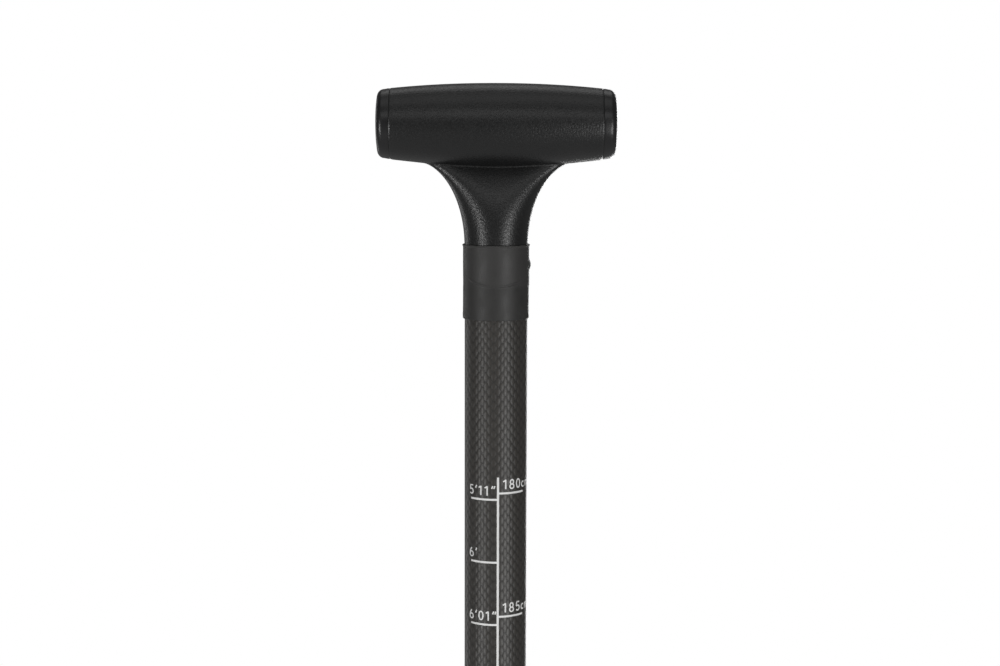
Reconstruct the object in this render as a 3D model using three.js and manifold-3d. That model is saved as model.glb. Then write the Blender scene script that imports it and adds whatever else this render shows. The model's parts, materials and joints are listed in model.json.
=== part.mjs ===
// Adjustable single blade paddle in three sections: a T-grip handle section that telescopes in a middle
// shaft, a lever clamp that holds it, and a blade section joined by a ferrule with a snap button.
// Millimetres, +Z up along the shaft. The origin is on the shaft's axis where a rack clip grips it.
// +X runs along the T-grip, and the printed length scale faces -Y.
import * as THREE from 'three';
import { mergeVertices } from 'three/addons/utils/BufferGeometryUtils.js';
import Module from 'manifold-3d';

const wasm = await Module();
wasm.setup();

// ---------------------------------------------------------------- driving dimensions

// overall, with the handle set to its 190 cm mark
const PADDLE_LENGTH = 1900;
const CLIP_ABOVE_TIP = 1000;
const TIP_Z = -CLIP_ABOVE_TIP;
const GRIP_TOP_Z = TIP_Z + PADDLE_LENGTH;
const MARK_180_BELOW_TOP = 161.5; // first centimetre mark, below the grip's top
const MARK_SPAN_AT_REST = PADDLE_LENGTH - 1800;

const GAP = 0.15; // between pieces that are glued or pushed together
const ROUND_SIDES = 32; // sides of a round piece
const PLAIN_SIDES = 20; // sides of a plug hidden inside a tube
const SMALL_SIDES = 16; // sides of a pin, screw or button

// tubes: handle shaft, and the wider middle and blade shafts that it slides in
const SHAFT_R = 12.5;
const SHAFT_BORE_R = 11.2;
const WIDE_R = 14.5;
const WIDE_BORE_R = 13.2;

// T-grip
const BARREL_R = 16;
const BARREL_END_R = 13.55;
const SEAM_X = 41.9; // half length of the barrel without its end caps
const SEAM_R = 13.92;
const BARREL_HALF = 47.3;
const CROWN_POWER = 2.1;
const CAP_EDGE_R = 2.8;
const CAP_DOME = 0.4;
const CAP_FLAT_R = 6;
const CAP_WALL = 2.2;
const BARREL_BORE_R = 10.5;
const SPIGOT_R = 10.2;
const SPIGOT_BORE_R = 8.2;
const SPIGOT_LENGTH = 8;
const BARREL_Z = GRIP_TOP_Z - BARREL_R;

// neck of the grip, below the barrel's axis
const NECK_R = 12.6;
const NECK_FLARE = 20; // how much wider the neck gets under the barrel
const NECK_TOP = 14.6;
const NECK_FLARE_END = 48.1;
const NECK_THIN = 3.4; // half depth of the neck right under the barrel
const NECK_CHANGE_POWER = 3; // the section changes slowly at the sleeve and quickly at the barrel
const NECK_SQUARING = 1.6; // how far the section turns from an ellipse to a rounded rectangle at the barrel
const NECK_END = 61.6;
const NECK_BORE_R = 10.95;
const NECK_BORE_DEPTH = 15;
const NECK_CORE_R = 6;

// sleeve, ferrule and rivet that join grip and shaft, below the barrel's axis
const SLEEVE_TOP = 47.3;
const SLEEVE_END = 76.8;
const SLEEVE_R = 13.15;
const SLEEVE_LOW_R = 13.1;
const SLEEVE_WALL = 0.4;
const SHAFT_TOP = 61.75;
const GRIP_FERRULE_R = 10.75;
const GRIP_FERRULE_BORE_R = 9.3;
const GRIP_FERRULE_TOP = 47;
const GRIP_FERRULE_END = 100;
const RIVET_DROP = 55.4;
const RIVET_HEAD_R = 2.2;
const RIVET_SHANK_R = 1.2;
const RIVET_HEAD_X = 13.35;
const BUMP_R = 3;
const BUMP_X = 13.75;

// lower end of the handle section
const HANDLE_LENGTH = 650;
const SHAFT_END_Z = GRIP_TOP_Z - HANDLE_LENGTH;
const FOAM_LENGTH = 60;
const PLUG_INSERT = 25;
const BUSH_LENGTH = 23.4;
const BUSH_NECK_R = 9;
const PLUG_FLANGE = 4;

// clamp on the middle shaft's top end
const CLAMP_TOP_Z = GRIP_TOP_Z - MARK_180_BELOW_TOP - MARK_SPAN_AT_REST;
const COLLAR_HEIGHT = 38;
const COLLAR_R = 19;
const COLLAR_BORE_R = 14.75;
const SPLIT_WIDTH = 2.8;
const EAR_X = 7;
const EAR_Y = [13, 28];
const EAR_HEIGHT = 30;
const CLAMP_MID_Z = CLAMP_TOP_Z - COLLAR_HEIGHT / 2;
const SCREW_Y = 23;
const SCREW_R = 2;
const SCREW_HEAD_R = 3.8;
const SCREW_HEAD_X = [-8, -4.7];
const HEX_KEY = 3; // across flats
const SEAL_HEIGHT = 2;
const SEAL_R = [12.75, 14.5];
const MIDDLE_TOP_Z = CLAMP_TOP_Z - SEAL_HEIGHT - 2 * GAP;
const PAD_X = [7.2, 8.6];
const PAD_R = 5.5;
const PIN_X = 14.6;
const PIN_R = 3;
const PIN_LENGTH = 27;
const CAM_R = 5.2;
const CAM_OFFSET = 0.5;
const LEVER_R = [20, 24.5];
const LEVER_ARC = [55, -58]; // degrees, about the shaft's axis, +X is zero
const LEVER_LIP = [24, 28];
const LEVER_LIP_ARC = 9;
const LEVER_HEIGHT = 24;
const LEVER_SLOT_R = 8;
const LEVER_SLOT_HEIGHT = 7;

// ferrule joint between the middle and the blade section
const JOINT_Z = -180;
const FERRULE_R = 12.95;
const FERRULE_BORE_R = 11.2;
const FERRULE_TOP_Z = JOINT_Z + 60;
const FERRULE_END_Z = JOINT_Z - 75;
const BUTTON_Z = JOINT_Z - 35;
const BUTTON_R = 3.8;
const BUTTON_HOLE_R = 4.1;
const BUTTON_FLANGE_R = 5;
const BUTTON_OUT = 16.6;
const BUTTON_FLANGE_Y = [8.2, 9.4];
const SPRING_WIDTH = 7;
const SPRING_THICKNESS = 0.6;
const SPRING_Y = [-8.05, 10.5]; // outer faces of its two legs
const SPRING_LEG = 28;

// blade section
const BLADE_TOP_Z = -520;
const BLADE_LENGTH = BLADE_TOP_Z - TIP_Z;
const BLADE_HALF_WIDTH = 100;
const THROAT_R = 17.5;
const THROAT_LENGTH = 25;
const WIDEST = 300; // below the blade's top
const TIP_POWER = 2.6;
const BLADE_LEAN = THREE.MathUtils.degToRad(9);
const LEAN_START = 40;
const LEAN_BLEND = 60;
const TIP_HALF_THICKNESS = 3.2;
const EDGE_HALF_THICKNESS = 2;
const GUARD_WIDTH = 3.9;
const CORE_INSET = GUARD_WIDTH + 2 * GAP;
const SKIN = 0.8;
const SHAFT_IN_BLADE = 52;
const SHOULDER_STEPS = 9; // stations from the throat to the widest point
const TIP_STEPS = 9; // stations from there to the tip
const GUARD_FIRST = 2; // shoulder station where the edge guard starts

// ---------------------------------------------------------------- helpers

// Turns a mesh's faces outwards when its winding encloses a negative volume.
function facingOut(geometry) {
  const position = geometry.attributes.position;
  const index = geometry.index.array;
  const corners = [new THREE.Vector3(), new THREE.Vector3(), new THREE.Vector3()];
  let volume = 0;
  for (let i = 0; i < index.length; i += 3) {
    corners.forEach((corner, k) => corner.fromBufferAttribute(position, index[i + k]));
    volume += corners[0].dot(corners[1].cross(corners[2]));
  }
  if (volume < 0) {
    for (let i = 0; i < index.length; i += 3) {
      [index[i + 1], index[i + 2]] = [index[i + 2], index[i + 1]];
    }
  }
  return geometry;
}

// One closed geometry with shared vertices and outward faces.
function closed(geometry) {
  geometry.deleteAttribute('normal');
  geometry.deleteAttribute('uv');
  const merged = facingOut(mergeVertices(geometry));
  merged.computeVertexNormals();
  return merged;
}

function solid(geometry) {
  const merged = closed(geometry);
  const vertProperties = new Float32Array(merged.attributes.position.array);
  const triVerts = new Uint32Array(merged.index.array);
  return new wasm.Manifold(new wasm.Mesh({ numProp: 3, vertProperties, triVerts }));
}

function geometryOf(body) {
  const mesh = body.getMesh();
  const geometry = new THREE.BufferGeometry();
  geometry.setAttribute('position', new THREE.BufferAttribute(new Float32Array(mesh.vertProperties), 3));
  geometry.setIndex(new THREE.BufferAttribute(new Uint32Array(mesh.triVerts), 1));
  geometry.computeVertexNormals();
  return geometry;
}

function material(color, roughness, metalness = 0) {
  return new THREE.MeshStandardMaterial({ color, roughness, metalness });
}

// A turned shape about +Z from [radius, height] pairs that start and end on the axis.
function turned(profile, sides = ROUND_SIDES) {
  const points = profile.map(([radius, height]) => new THREE.Vector2(radius, height));
  return new THREE.LatheGeometry(points, sides).rotateX(Math.PI / 2);
}

// A tube about +Z between two radii and two heights.
function tube(inner, outer, low, high, sides = ROUND_SIDES) {
  return turned([[inner, low], [outer, low], [outer, high], [inner, high], [inner, low]], sides);
}

// A plain rod between two heights on +Z.
function rod(radius, low, high, sides = SMALL_SIDES) {
  return turned([[0, low], [radius, low], [radius, high], [0, high]], sides);
}

const alongX = (geometry) => geometry.rotateY(Math.PI / 2);
const alongMinusY = (geometry) => geometry.rotateX(Math.PI / 2);

function box(xs, ys, zs) {
  const size = [xs, ys, zs].map(([low, high]) => high - low);
  const centre = [xs, ys, zs].map(([low, high]) => (low + high) / 2);
  return new THREE.BoxGeometry(...size).translate(...centre);
}

function smooth(t) {
  const clamped = THREE.MathUtils.clamp(t, 0, 1);
  return clamped * clamped * (3 - 2 * clamped);
}

// A closed skin over a list of rings with the same number of points, with a fan over each end.
function loft(rings) {
  const count = rings[0].length;
  const positions = rings.flat(2);
  const triangles = [];
  for (let i = 0; i + 1 < rings.length; i += 1) {
    for (let j = 0; j < count; j += 1) {
      const a = i * count + j;
      const b = i * count + ((j + 1) % count);
      triangles.push(a, b, b + count, a, b + count, a + count);
    }
  }
  for (const [ring, start, flip] of [[rings[0], 0, true], [rings.at(-1), positions.length / 3 - count, false]]) {
    const hub = positions.length / 3;
    const middle = [0, 1, 2].map((k) => ring.reduce((sum, point) => sum + point[k], 0) / count);
    positions.push(...middle);
    for (let j = 0; j < count; j += 1) {
      const a = start + j;
      const b = start + ((j + 1) % count);
      triangles.push(...(flip ? [hub, b, a] : [hub, a, b]));
    }
  }
  const geometry = new THREE.BufferGeometry();
  geometry.setAttribute('position', new THREE.Float32BufferAttribute(positions, 3));
  geometry.setIndex(triangles);
  return geometry;
}

// A closed sheet with thickness between two grids of points of the same size.
function thickSheet(outer, inner) {
  const rows = outer.length;
  const columns = outer[0].length;
  const under = rows * columns;
  const at = (i, j) => i * columns + j;
  const triangles = [];
  const wall = (p, q) => triangles.push(q, p, p + under, q, p + under, q + under);
  for (let i = 0; i + 1 < rows; i += 1) {
    for (let j = 0; j + 1 < columns; j += 1) {
      const [a, b, c, d] = [at(i, j), at(i, j + 1), at(i + 1, j + 1), at(i + 1, j)];
      triangles.push(a, b, c, a, c, d);
      triangles.push(a + under, c + under, b + under, a + under, d + under, c + under);
    }
    wall(at(i + 1, 0), at(i, 0));
    wall(at(i, columns - 1), at(i + 1, columns - 1));
  }
  for (let j = 0; j + 1 < columns; j += 1) {
    wall(at(0, j), at(0, j + 1));
    wall(at(rows - 1, j + 1), at(rows - 1, j));
  }
  const geometry = new THREE.BufferGeometry();
  const positions = [outer, inner].flat(3);
  geometry.setAttribute('position', new THREE.Float32BufferAttribute(positions, 3));
  geometry.setIndex(triangles);
  return geometry;
}

// ---------------------------------------------------------------- handle section

function barrelRadius(x) {
  return BARREL_R - (BARREL_R - SEAM_R) * (Math.abs(x) / SEAM_X) ** CROWN_POWER;
}

// Crowned barrel along X, flared neck, and the hollows inside both.
function gripBody() {
  const steps = 10;
  const profile = [[0, -SEAM_X]];
  for (let i = 0; i <= steps; i += 1) {
    const x = SEAM_X * (2 * i / steps - 1);
    profile.push([barrelRadius(x), x]);
  }
  profile.push([0, SEAM_X]);
  const barrel = solid(alongX(turned(profile)));
  const neck = solid(loft(neckRings()));
  const barrelHollow = solid(alongX(rod(BARREL_BORE_R, -SEAM_X - 1, SEAM_X + 1, ROUND_SIDES)));
  const neckBore = solid(rod(NECK_BORE_R, -NECK_END - 1, -NECK_END + NECK_BORE_DEPTH, ROUND_SIDES));
  const neckCore = solid(rod(NECK_CORE_R, -NECK_END, 0));
  const thinning = solid(box([-60, 60], [-NECK_THIN + 2.2, NECK_THIN - 2.2], [-40, 0]));
  const narrowCore = neckCore.intersect(thinning);
  const roundCore = solid(rod(NECK_CORE_R, -NECK_END, -NECK_END + NECK_BORE_DEPTH + 6));
  const rivetHole = solid(alongX(rod(RIVET_SHANK_R + 0.2, 0, 20)).translate(0, 0, -RIVET_DROP));
  const body = barrel.add(neck)
    .subtract(barrelHollow)
    .subtract(neckBore)
    .subtract(narrowCore)
    .subtract(roundCore)
    .subtract(rivetHole);
  return geometryOf(body);
}

// Rings of the neck: a quarter ellipse flares its width, and it gets thinner and squarer towards the barrel.
function neckRings() {
  const drops = [8, NECK_TOP];
  const steps = 9;
  for (let i = 1; i <= steps; i += 1) {
    const along = (i / steps) ** 1.6;
    drops.push(NECK_TOP + (NECK_FLARE_END - NECK_TOP) * along);
  }
  drops.push(NECK_END);
  return drops.map((drop) => {
    const rise = THREE.MathUtils.clamp((NECK_FLARE_END - drop) / (NECK_FLARE_END - NECK_TOP), 0, 1);
    const wide = NECK_R + NECK_FLARE * (1 - Math.sqrt(1 - rise * rise));
    const share = rise ** NECK_CHANGE_POWER;
    const deep = NECK_R - (NECK_R - NECK_THIN) * share;
    const power = 2 / (2 + NECK_SQUARING * share);
    const ring = [];
    for (let j = 0; j < ROUND_SIDES; j += 1) {
      const turn = 2 * Math.PI * j / ROUND_SIDES;
      const across = Math.sign(Math.cos(turn)) * Math.abs(Math.cos(turn)) ** power;
      const through = Math.sign(Math.sin(turn)) * Math.abs(Math.sin(turn)) ** power;
      ring.push([wide * across, deep * through, -drop]);
    }
    return ring;
  });
}

// End cap with a domed face, a rounded edge and a hollow spigot that fits in the barrel's bore.
function gripCap(side) {
  const edgeX = BARREL_HALF - CAP_DOME - CAP_EDGE_R;
  const profile = [
    [0, SEAM_X + CAP_WALL],
    [SPIGOT_BORE_R, SEAM_X + CAP_WALL],
    [SPIGOT_BORE_R, SEAM_X - SPIGOT_LENGTH],
    [SPIGOT_R, SEAM_X - SPIGOT_LENGTH],
    [SPIGOT_R, SEAM_X + GAP],
    [SEAM_R, SEAM_X + GAP],
  ];
  const steps = 3;
  for (let i = 0; i <= steps; i += 1) {
    const turn = (i / steps) * Math.PI / 2;
    const radius = BARREL_END_R - CAP_EDGE_R * (1 - Math.cos(turn));
    profile.push([radius, edgeX + CAP_EDGE_R * Math.sin(turn)]);
  }
  profile.push([CAP_FLAT_R, BARREL_HALF], [0, BARREL_HALF]);
  const geometry = alongX(turned(profile));
  return side < 0 ? geometry.rotateZ(Math.PI) : geometry;
}

// Heat-shrunk sleeve over the joint of grip and shaft, drawn down over the rivet's head.
function shrinkSleeve() {
  const profile = [
    [SLEEVE_R - SLEEVE_WALL, -SLEEVE_TOP],
    [SLEEVE_R, -SLEEVE_TOP],
    [SLEEVE_R, -SHAFT_TOP],
    [SLEEVE_LOW_R, -SHAFT_TOP - 2],
    [SLEEVE_LOW_R, -SLEEVE_END],
    [SLEEVE_LOW_R - 0.35, -SLEEVE_END],
    [SLEEVE_LOW_R - 0.35, -SHAFT_TOP - 2],
    [SLEEVE_R - SLEEVE_WALL, -SHAFT_TOP],
    [SLEEVE_R - SLEEVE_WALL, -SLEEVE_TOP],
  ];
  const atRivet = (radius, low, high) => solid(alongX(rod(radius, low, high)).translate(0, 0, -RIVET_DROP));
  const body = solid(turned(profile))
    .add(atRivet(BUMP_R, SLEEVE_R - 0.3, BUMP_X))
    .subtract(atRivet(RIVET_HEAD_R + GAP, SHAFT_R - 1, RIVET_HEAD_X + GAP));
  return geometryOf(body);
}

// Round-headed rivet along +X, through the neck's wall into the ferrule.
function gripRivet() {
  const seat = NECK_R + 0.1;
  const profile = [
    [0, GRIP_FERRULE_BORE_R - 0.8],
    [RIVET_SHANK_R, GRIP_FERRULE_BORE_R - 0.8],
    [RIVET_SHANK_R, seat],
    [RIVET_HEAD_R, seat],
    [RIVET_HEAD_R, seat + 0.3],
    [0.8 * RIVET_HEAD_R, RIVET_HEAD_X - 0.1],
    [0, RIVET_HEAD_X],
  ];
  return alongX(turned(profile, SMALL_SIDES)).translate(0, 0, -RIVET_DROP);
}

// Inner tube that joins the grip's neck to the handle shaft.
function gripFerrule() {
  const body = solid(tube(GRIP_FERRULE_BORE_R, GRIP_FERRULE_R, -GRIP_FERRULE_END, -GRIP_FERRULE_TOP));
  const hole = solid(alongX(rod(RIVET_SHANK_R + 0.2, 0, 20)).translate(0, 0, -RIVET_DROP));
  return geometryOf(body.subtract(hole));
}

// Plug in the handle shaft's lower end, with a neck for the guide bush and a flange under it.
function endPlug() {
  const neckTop = SHAFT_END_Z + 2 * GAP;
  const neckLow = neckTop - BUSH_LENGTH - 4 * GAP;
  return turned([
    [0, neckLow - PLUG_FLANGE],
    [SHAFT_R - 0.1, neckLow - PLUG_FLANGE],
    [SHAFT_R - 0.1, neckLow],
    [BUSH_NECK_R, neckLow],
    [BUSH_NECK_R, neckTop],
    [SHAFT_BORE_R - 2 * GAP, neckTop],
    [SHAFT_BORE_R - 2 * GAP, neckTop + PLUG_INSERT],
    [0, neckTop + PLUG_INSERT],
  ], PLAIN_SIDES);
}

// Plain bush that guides the handle's end in the middle shaft's bore.
function guideBush() {
  const top = SHAFT_END_Z - GAP;
  return tube(BUSH_NECK_R + 0.2, WIDE_BORE_R - GAP, top - BUSH_LENGTH, top);
}

// ---------------------------------------------------------------- clamp

// Split collar with two ears for the tightening screw.
function clampCollar() {
  const low = CLAMP_TOP_Z - COLLAR_HEIGHT;
  const earZ = [CLAMP_MID_Z - EAR_HEIGHT / 2, CLAMP_MID_Z + EAR_HEIGHT / 2];
  const ring = solid(rod(COLLAR_R, low, CLAMP_TOP_Z, ROUND_SIDES));
  const ears = solid(box([-EAR_X, EAR_X], EAR_Y, earZ));
  const bore = solid(rod(COLLAR_BORE_R, low - 1, CLAMP_TOP_Z + 1, ROUND_SIDES));
  const split = solid(box([-SPLIT_WIDTH / 2, SPLIT_WIDTH / 2], [0, EAR_Y[1] + 1], [low - 1, CLAMP_TOP_Z + 1]));
  const place = (geometry) => solid(geometry.translate(0, SCREW_Y, CLAMP_MID_Z));
  const screwHole = place(alongX(rod(SCREW_R + 0.3, -EAR_X - 1, EAR_X + 1)));
  const counterbore = place(alongX(rod(SCREW_HEAD_R + 0.3, -EAR_X - 1, SCREW_HEAD_X[1] + GAP)));
  return geometryOf(ring.add(ears).subtract(bore).subtract(split).subtract(screwHole).subtract(counterbore));
}

function clampSeal() {
  const low = MIDDLE_TOP_Z + GAP;
  return tube(SEAL_R[0], SEAL_R[1], low, low + SEAL_HEIGHT);
}

// Socket screw from the left ear to the pin, which it threads into.
function clampScrew() {
  const end = PIN_X + PIN_R - 0.5;
  const shape = turned([
    [0, SCREW_HEAD_X[0]],
    [SCREW_HEAD_R, SCREW_HEAD_X[0]],
    [SCREW_HEAD_R, SCREW_HEAD_X[1]],
    [SCREW_R, SCREW_HEAD_X[1]],
    [SCREW_R, end],
    [0, end],
  ], SMALL_SIDES);
  const socket = rod(HEX_KEY / Math.sqrt(3), SCREW_HEAD_X[0] - 1, SCREW_HEAD_X[0] + 2, 6);
  const body = solid(alongX(shape)).subtract(solid(alongX(socket)));
  return geometryOf(body).translate(0, SCREW_Y, CLAMP_MID_Z);
}

// Hard pad that the lever's cam bears on.
function clampPad() {
  return alongX(tube(SCREW_R + 0.4, PAD_R, PAD_X[0], PAD_X[1], SMALL_SIDES)).translate(0, SCREW_Y, CLAMP_MID_Z);
}

// Barrel nut that is also the lever's hinge pin.
function clampPin() {
  const body = solid(rod(PIN_R, -PIN_LENGTH / 2, PIN_LENGTH / 2));
  const hole = solid(alongX(rod(SCREW_R + GAP, -PIN_R - 1, PIN_R + 1)));
  return geometryOf(body.subtract(hole)).translate(PIN_X, SCREW_Y, CLAMP_MID_Z);
}

// A flat arc about the shaft's axis, between two radii and two angles in degrees.
function arcPlate(radii, degrees, height) {
  const [from, to] = degrees.map(THREE.MathUtils.degToRad);
  const shape = new THREE.Shape();
  shape.absarc(0, 0, radii[0], from, to, from > to);
  shape.absarc(0, 0, radii[1], to, from, to > from);
  shape.closePath();
  const plate = new THREE.ExtrudeGeometry(shape, { depth: height, bevelEnabled: false, curveSegments: 10 });
  return plate.translate(0, 0, CLAMP_MID_Z - height / 2);
}

// Cam lever: two cheeks round the pin, and an arm that lies along the collar.
function clampLever() {
  const high = CLAMP_MID_Z + LEVER_HEIGHT / 2;
  const low = CLAMP_MID_Z - LEVER_HEIGHT / 2;
  const cam = solid(rod(CAM_R, low, high, SMALL_SIDES + 8).translate(PIN_X - CAM_OFFSET, SCREW_Y, 0));
  const arm = solid(arcPlate(LEVER_R, LEVER_ARC, LEVER_HEIGHT));
  const rootArc = [LEVER_ARC[0], LEVER_ARC[0] - 14];
  const root = solid(arcPlate([LEVER_R[0], LEVER_R[1] + 3], rootArc, LEVER_HEIGHT));
  const lipArc = [LEVER_ARC[1] + LEVER_LIP_ARC, LEVER_ARC[1]];
  const lip = solid(arcPlate(LEVER_LIP, lipArc, LEVER_HEIGHT));
  const slotLow = CLAMP_MID_Z - LEVER_SLOT_HEIGHT / 2;
  const slot = solid(rod(LEVER_SLOT_R, slotLow, slotLow + LEVER_SLOT_HEIGHT).translate(PIN_X, SCREW_Y, 0));
  const bore = solid(rod(PIN_R + 0.2, low - 1, high + 1).translate(PIN_X, SCREW_Y, 0));
  return geometryOf(cam.add(root).add(arm).add(lip).subtract(slot).subtract(bore));
}

// ---------------------------------------------------------------- middle section and ferrule joint

// Middle shaft, slit at its top end so that the collar can squeeze it.
function middleShaft() {
  const slitLow = CLAMP_TOP_Z - COLLAR_HEIGHT + 4;
  const body = solid(tube(WIDE_BORE_R, WIDE_R, JOINT_Z + GAP, MIDDLE_TOP_Z));
  const slit = solid(box([-1.2, 1.2], [0, 20], [slitLow, CLAMP_TOP_Z]));
  return geometryOf(body.subtract(slit));
}

function buttonHole() {
  return solid(alongMinusY(rod(BUTTON_HOLE_R, 0, 20)).translate(0, 0, BUTTON_Z));
}

function jointFerrule() {
  const body = solid(tube(FERRULE_BORE_R, FERRULE_R, FERRULE_END_Z, FERRULE_TOP_Z));
  return geometryOf(body.subtract(buttonHole()));
}

function ferrulePlug() {
  const shoulder = FERRULE_END_Z - GAP;
  return turned([
    [0, shoulder - 2.5],
    [FERRULE_R - 0.3, shoulder - 2.5],
    [FERRULE_R - 0.3, shoulder],
    [FERRULE_BORE_R - 2 * GAP, shoulder],
    [FERRULE_BORE_R - 2 * GAP, shoulder + 12],
    [0, shoulder + 12],
  ], PLAIN_SIDES);
}

// Snap button: a domed pin with a flange that stops it inside the ferrule.
function snapButton() {
  const profile = [
    [0, BUTTON_FLANGE_Y[0]],
    [BUTTON_FLANGE_R, BUTTON_FLANGE_Y[0]],
    [BUTTON_FLANGE_R, BUTTON_FLANGE_Y[1]],
    [BUTTON_R, BUTTON_FLANGE_Y[1]],
  ];
  const steps = 4;
  const domeRise = 1.6;
  for (let i = 0; i < steps; i += 1) {
    const turn = (i / steps) * Math.PI / 2;
    profile.push([BUTTON_R * Math.cos(turn), BUTTON_OUT - domeRise * (1 - Math.sin(turn))]);
  }
  profile.push([0, BUTTON_OUT]);
  return alongMinusY(turned(profile, SMALL_SIDES)).translate(0, 0, BUTTON_Z);
}

// U-shaped leaf spring: one leg behind the button and one on the ferrule's far wall.
function buttonSpring() {
  const [front, back] = SPRING_Y;
  const middle = (front + back) / 2;
  const outer = (back - front) / 2;
  const inner = outer - SPRING_THICKNESS;
  const shape = new THREE.Shape();
  shape.moveTo(front, SPRING_LEG);
  shape.lineTo(front, 0);
  shape.absarc(middle, 0, outer, Math.PI, 2 * Math.PI, false);
  shape.lineTo(back, SPRING_LEG);
  shape.lineTo(back - SPRING_THICKNESS, SPRING_LEG);
  shape.absarc(middle, 0, inner, 2 * Math.PI, Math.PI, true);
  shape.lineTo(front + SPRING_THICKNESS, SPRING_LEG);
  shape.closePath();
  const strip = new THREE.ExtrudeGeometry(shape, { depth: SPRING_WIDTH, bevelEnabled: false, curveSegments: 8 });
  const turn = new THREE.Matrix4().makeBasis(
    new THREE.Vector3(0, 1, 0),
    new THREE.Vector3(0, 0, 1),
    new THREE.Vector3(1, 0, 0),
  );
  strip.translate(0, 0, -SPRING_WIDTH / 2).applyMatrix4(turn);
  return strip.translate(0, 0, BUTTON_Z - SPRING_LEG / 2);
}

// ---------------------------------------------------------------- blade section

function lowerShaft() {
  const end = BLADE_TOP_Z - SHAFT_IN_BLADE;
  const body = solid(tube(WIDE_BORE_R, WIDE_R, end, JOINT_Z - GAP));
  return geometryOf(body.subtract(buttonHole()));
}

// Half width and distance below the blade's top, for t from 0 at the throat to 1 at the widest
// point and on to 2 at the tip. An inset draws the outline in towards the blade's middle.
function outlineAt(t, inset) {
  if (t <= 1) {
    const drop = THROAT_LENGTH + (WIDEST - THROAT_LENGTH) * t;
    return [THROAT_R + (BLADE_HALF_WIDTH - inset - THROAT_R) * smooth(t), drop];
  }
  const turn = (t - 1) * Math.PI / 2;
  const power = 2 / TIP_POWER;
  const wide = (BLADE_HALF_WIDTH - inset) * Math.max(0, Math.cos(turn)) ** power;
  const drop = WIDEST + (BLADE_LENGTH - WIDEST - inset) * Math.sin(turn) ** power;
  return [wide, drop];
}

// How far the blade's middle plane has leaned towards +Y at a distance below the blade's top.
function leanAt(drop) {
  const past = Math.max(0, drop - LEAN_START);
  const slope = Math.tan(BLADE_LEAN);
  if (past < LEAN_BLEND) {
    return slope * past * past / (2 * LEAN_BLEND);
  }
  return slope * (past - LEAN_BLEND / 2);
}

function halfThickness(drop) {
  const along = (drop - SHAFT_IN_BLADE - 4) / (WIDEST - SHAFT_IN_BLADE - 4);
  const body = THROAT_R + (TIP_HALF_THICKNESS + 2.3 - THROAT_R) * smooth(along);
  const tip = smooth((drop - WIDEST) / (BLADE_LENGTH - WIDEST));
  return body - 2.3 * tip;
}

function stationAt(i) {
  return i <= SHOULDER_STEPS ? i / SHOULDER_STEPS : 1 + (i - SHOULDER_STEPS) / TIP_STEPS;
}

// How far the blade's edge has opened from a closed seam, at the guard's upper end, to its full thickness.
function edgeOpening(t) {
  return smooth(3 * (t - GUARD_FIRST / SHOULDER_STEPS));
}

// Stations along the blade: the throat, the shoulder, and the rounded tip.
function bladeStations(inset) {
  const stations = [{ wide: THROAT_R, drop: 0, flat: 0, round: 1 }];
  for (let i = 0; i < SHOULDER_STEPS + TIP_STEPS; i += 1) {
    const t = stationAt(i);
    const [wide, drop] = outlineAt(t, inset);
    const round = 1 - smooth(i / GUARD_FIRST);
    stations.push({ wide, drop, flat: edgeOpening(t), round });
  }
  return stations;
}

// One half section, on the +Y side (side 1) or the -Y side (side -1), grown by an offset.
function halfSection(station, side, offset) {
  const steps = 10;
  const edge = EDGE_HALF_THICKNESS * station.flat;
  const thick = halfThickness(station.drop);
  const grown = station.wide + offset * station.round;
  const row = [];
  for (let i = 0; i <= steps; i += 1) {
    const turn = Math.PI * i / steps;
    const y = edge + (thick - edge) * Math.sin(turn) + offset;
    row.push([grown * Math.cos(turn), leanAt(station.drop) + side * y, BLADE_TOP_Z - station.drop]);
  }
  return row;
}

// Foam core with a socket for the lower shaft.
function bladeCore() {
  const rings = bladeStations(CORE_INSET).map((station) => {
    const back = halfSection(station, 1, 0);
    const front = halfSection(station, -1, 0).reverse();
    const sharp = station.flat === 0;
    return sharp ? spreadEdge(back, front, leanAt(station.drop)) : [...back, ...front];
  });
  const socket = rod(WIDE_R + 2 * GAP, BLADE_TOP_Z - SHAFT_IN_BLADE - 2 * GAP, BLADE_TOP_Z + 1, ROUND_SIDES);
  return geometryOf(solid(loft(rings)).subtract(solid(socket)));
}

// Keeps a hair of thickness at the edge of a round section, where its two halves would meet.
function spreadEdge(back, front, middle) {
  const hair = 0.05;
  const lift = (row, side) => row.map(([x, y, z]) => [x, middle + side * Math.max(side * (y - middle), hair), z]);
  return [...lift(back, 1), ...lift(front, -1)];
}

// Laminate over one side of the core. Its rows run the same way round as the core's rings do.
function bladeSkin(side) {
  const rows = (offset) => bladeStations(CORE_INSET).map((station) => {
    const row = halfSection(station, side, offset);
    return side > 0 ? row : row.reverse();
  });
  return thickSheet(rows(GAP + SKIN), rows(GAP));
}

// Bumper rail round the blade's outline, from one shoulder round the tip to the other.
function edgeGuard() {
  const path = [];
  for (let i = GUARD_FIRST; i < SHOULDER_STEPS + TIP_STEPS; i += 1) {
    path.push(stationAt(i));
  }
  const places = path.map((t) => [t, 1]).concat([[2, 1]], [...path].reverse().map((t) => [t, -1]));
  const rings = places.map(([t, side]) => {
    const half = EDGE_HALF_THICKNESS * edgeOpening(t) + GAP + SKIN;
    const [innerX, innerDrop] = outlineAt(t, GUARD_WIDTH);
    const [outerX, outerDrop] = outlineAt(t, 0);
    const at = (share, y) => {
      const drop = innerDrop + (outerDrop - innerDrop) * share;
      const x = side * (innerX + (outerX - innerX) * share);
      return [x, leanAt(drop) + y, BLADE_TOP_Z - drop];
    };
    return [at(0, half), at(0.6, half), at(1, half * 0.45), at(1, -half * 0.45), at(0.6, -half), at(0, -half)];
  });
  return loft(rings);
}

// ---------------------------------------------------------------- assembly

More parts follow.
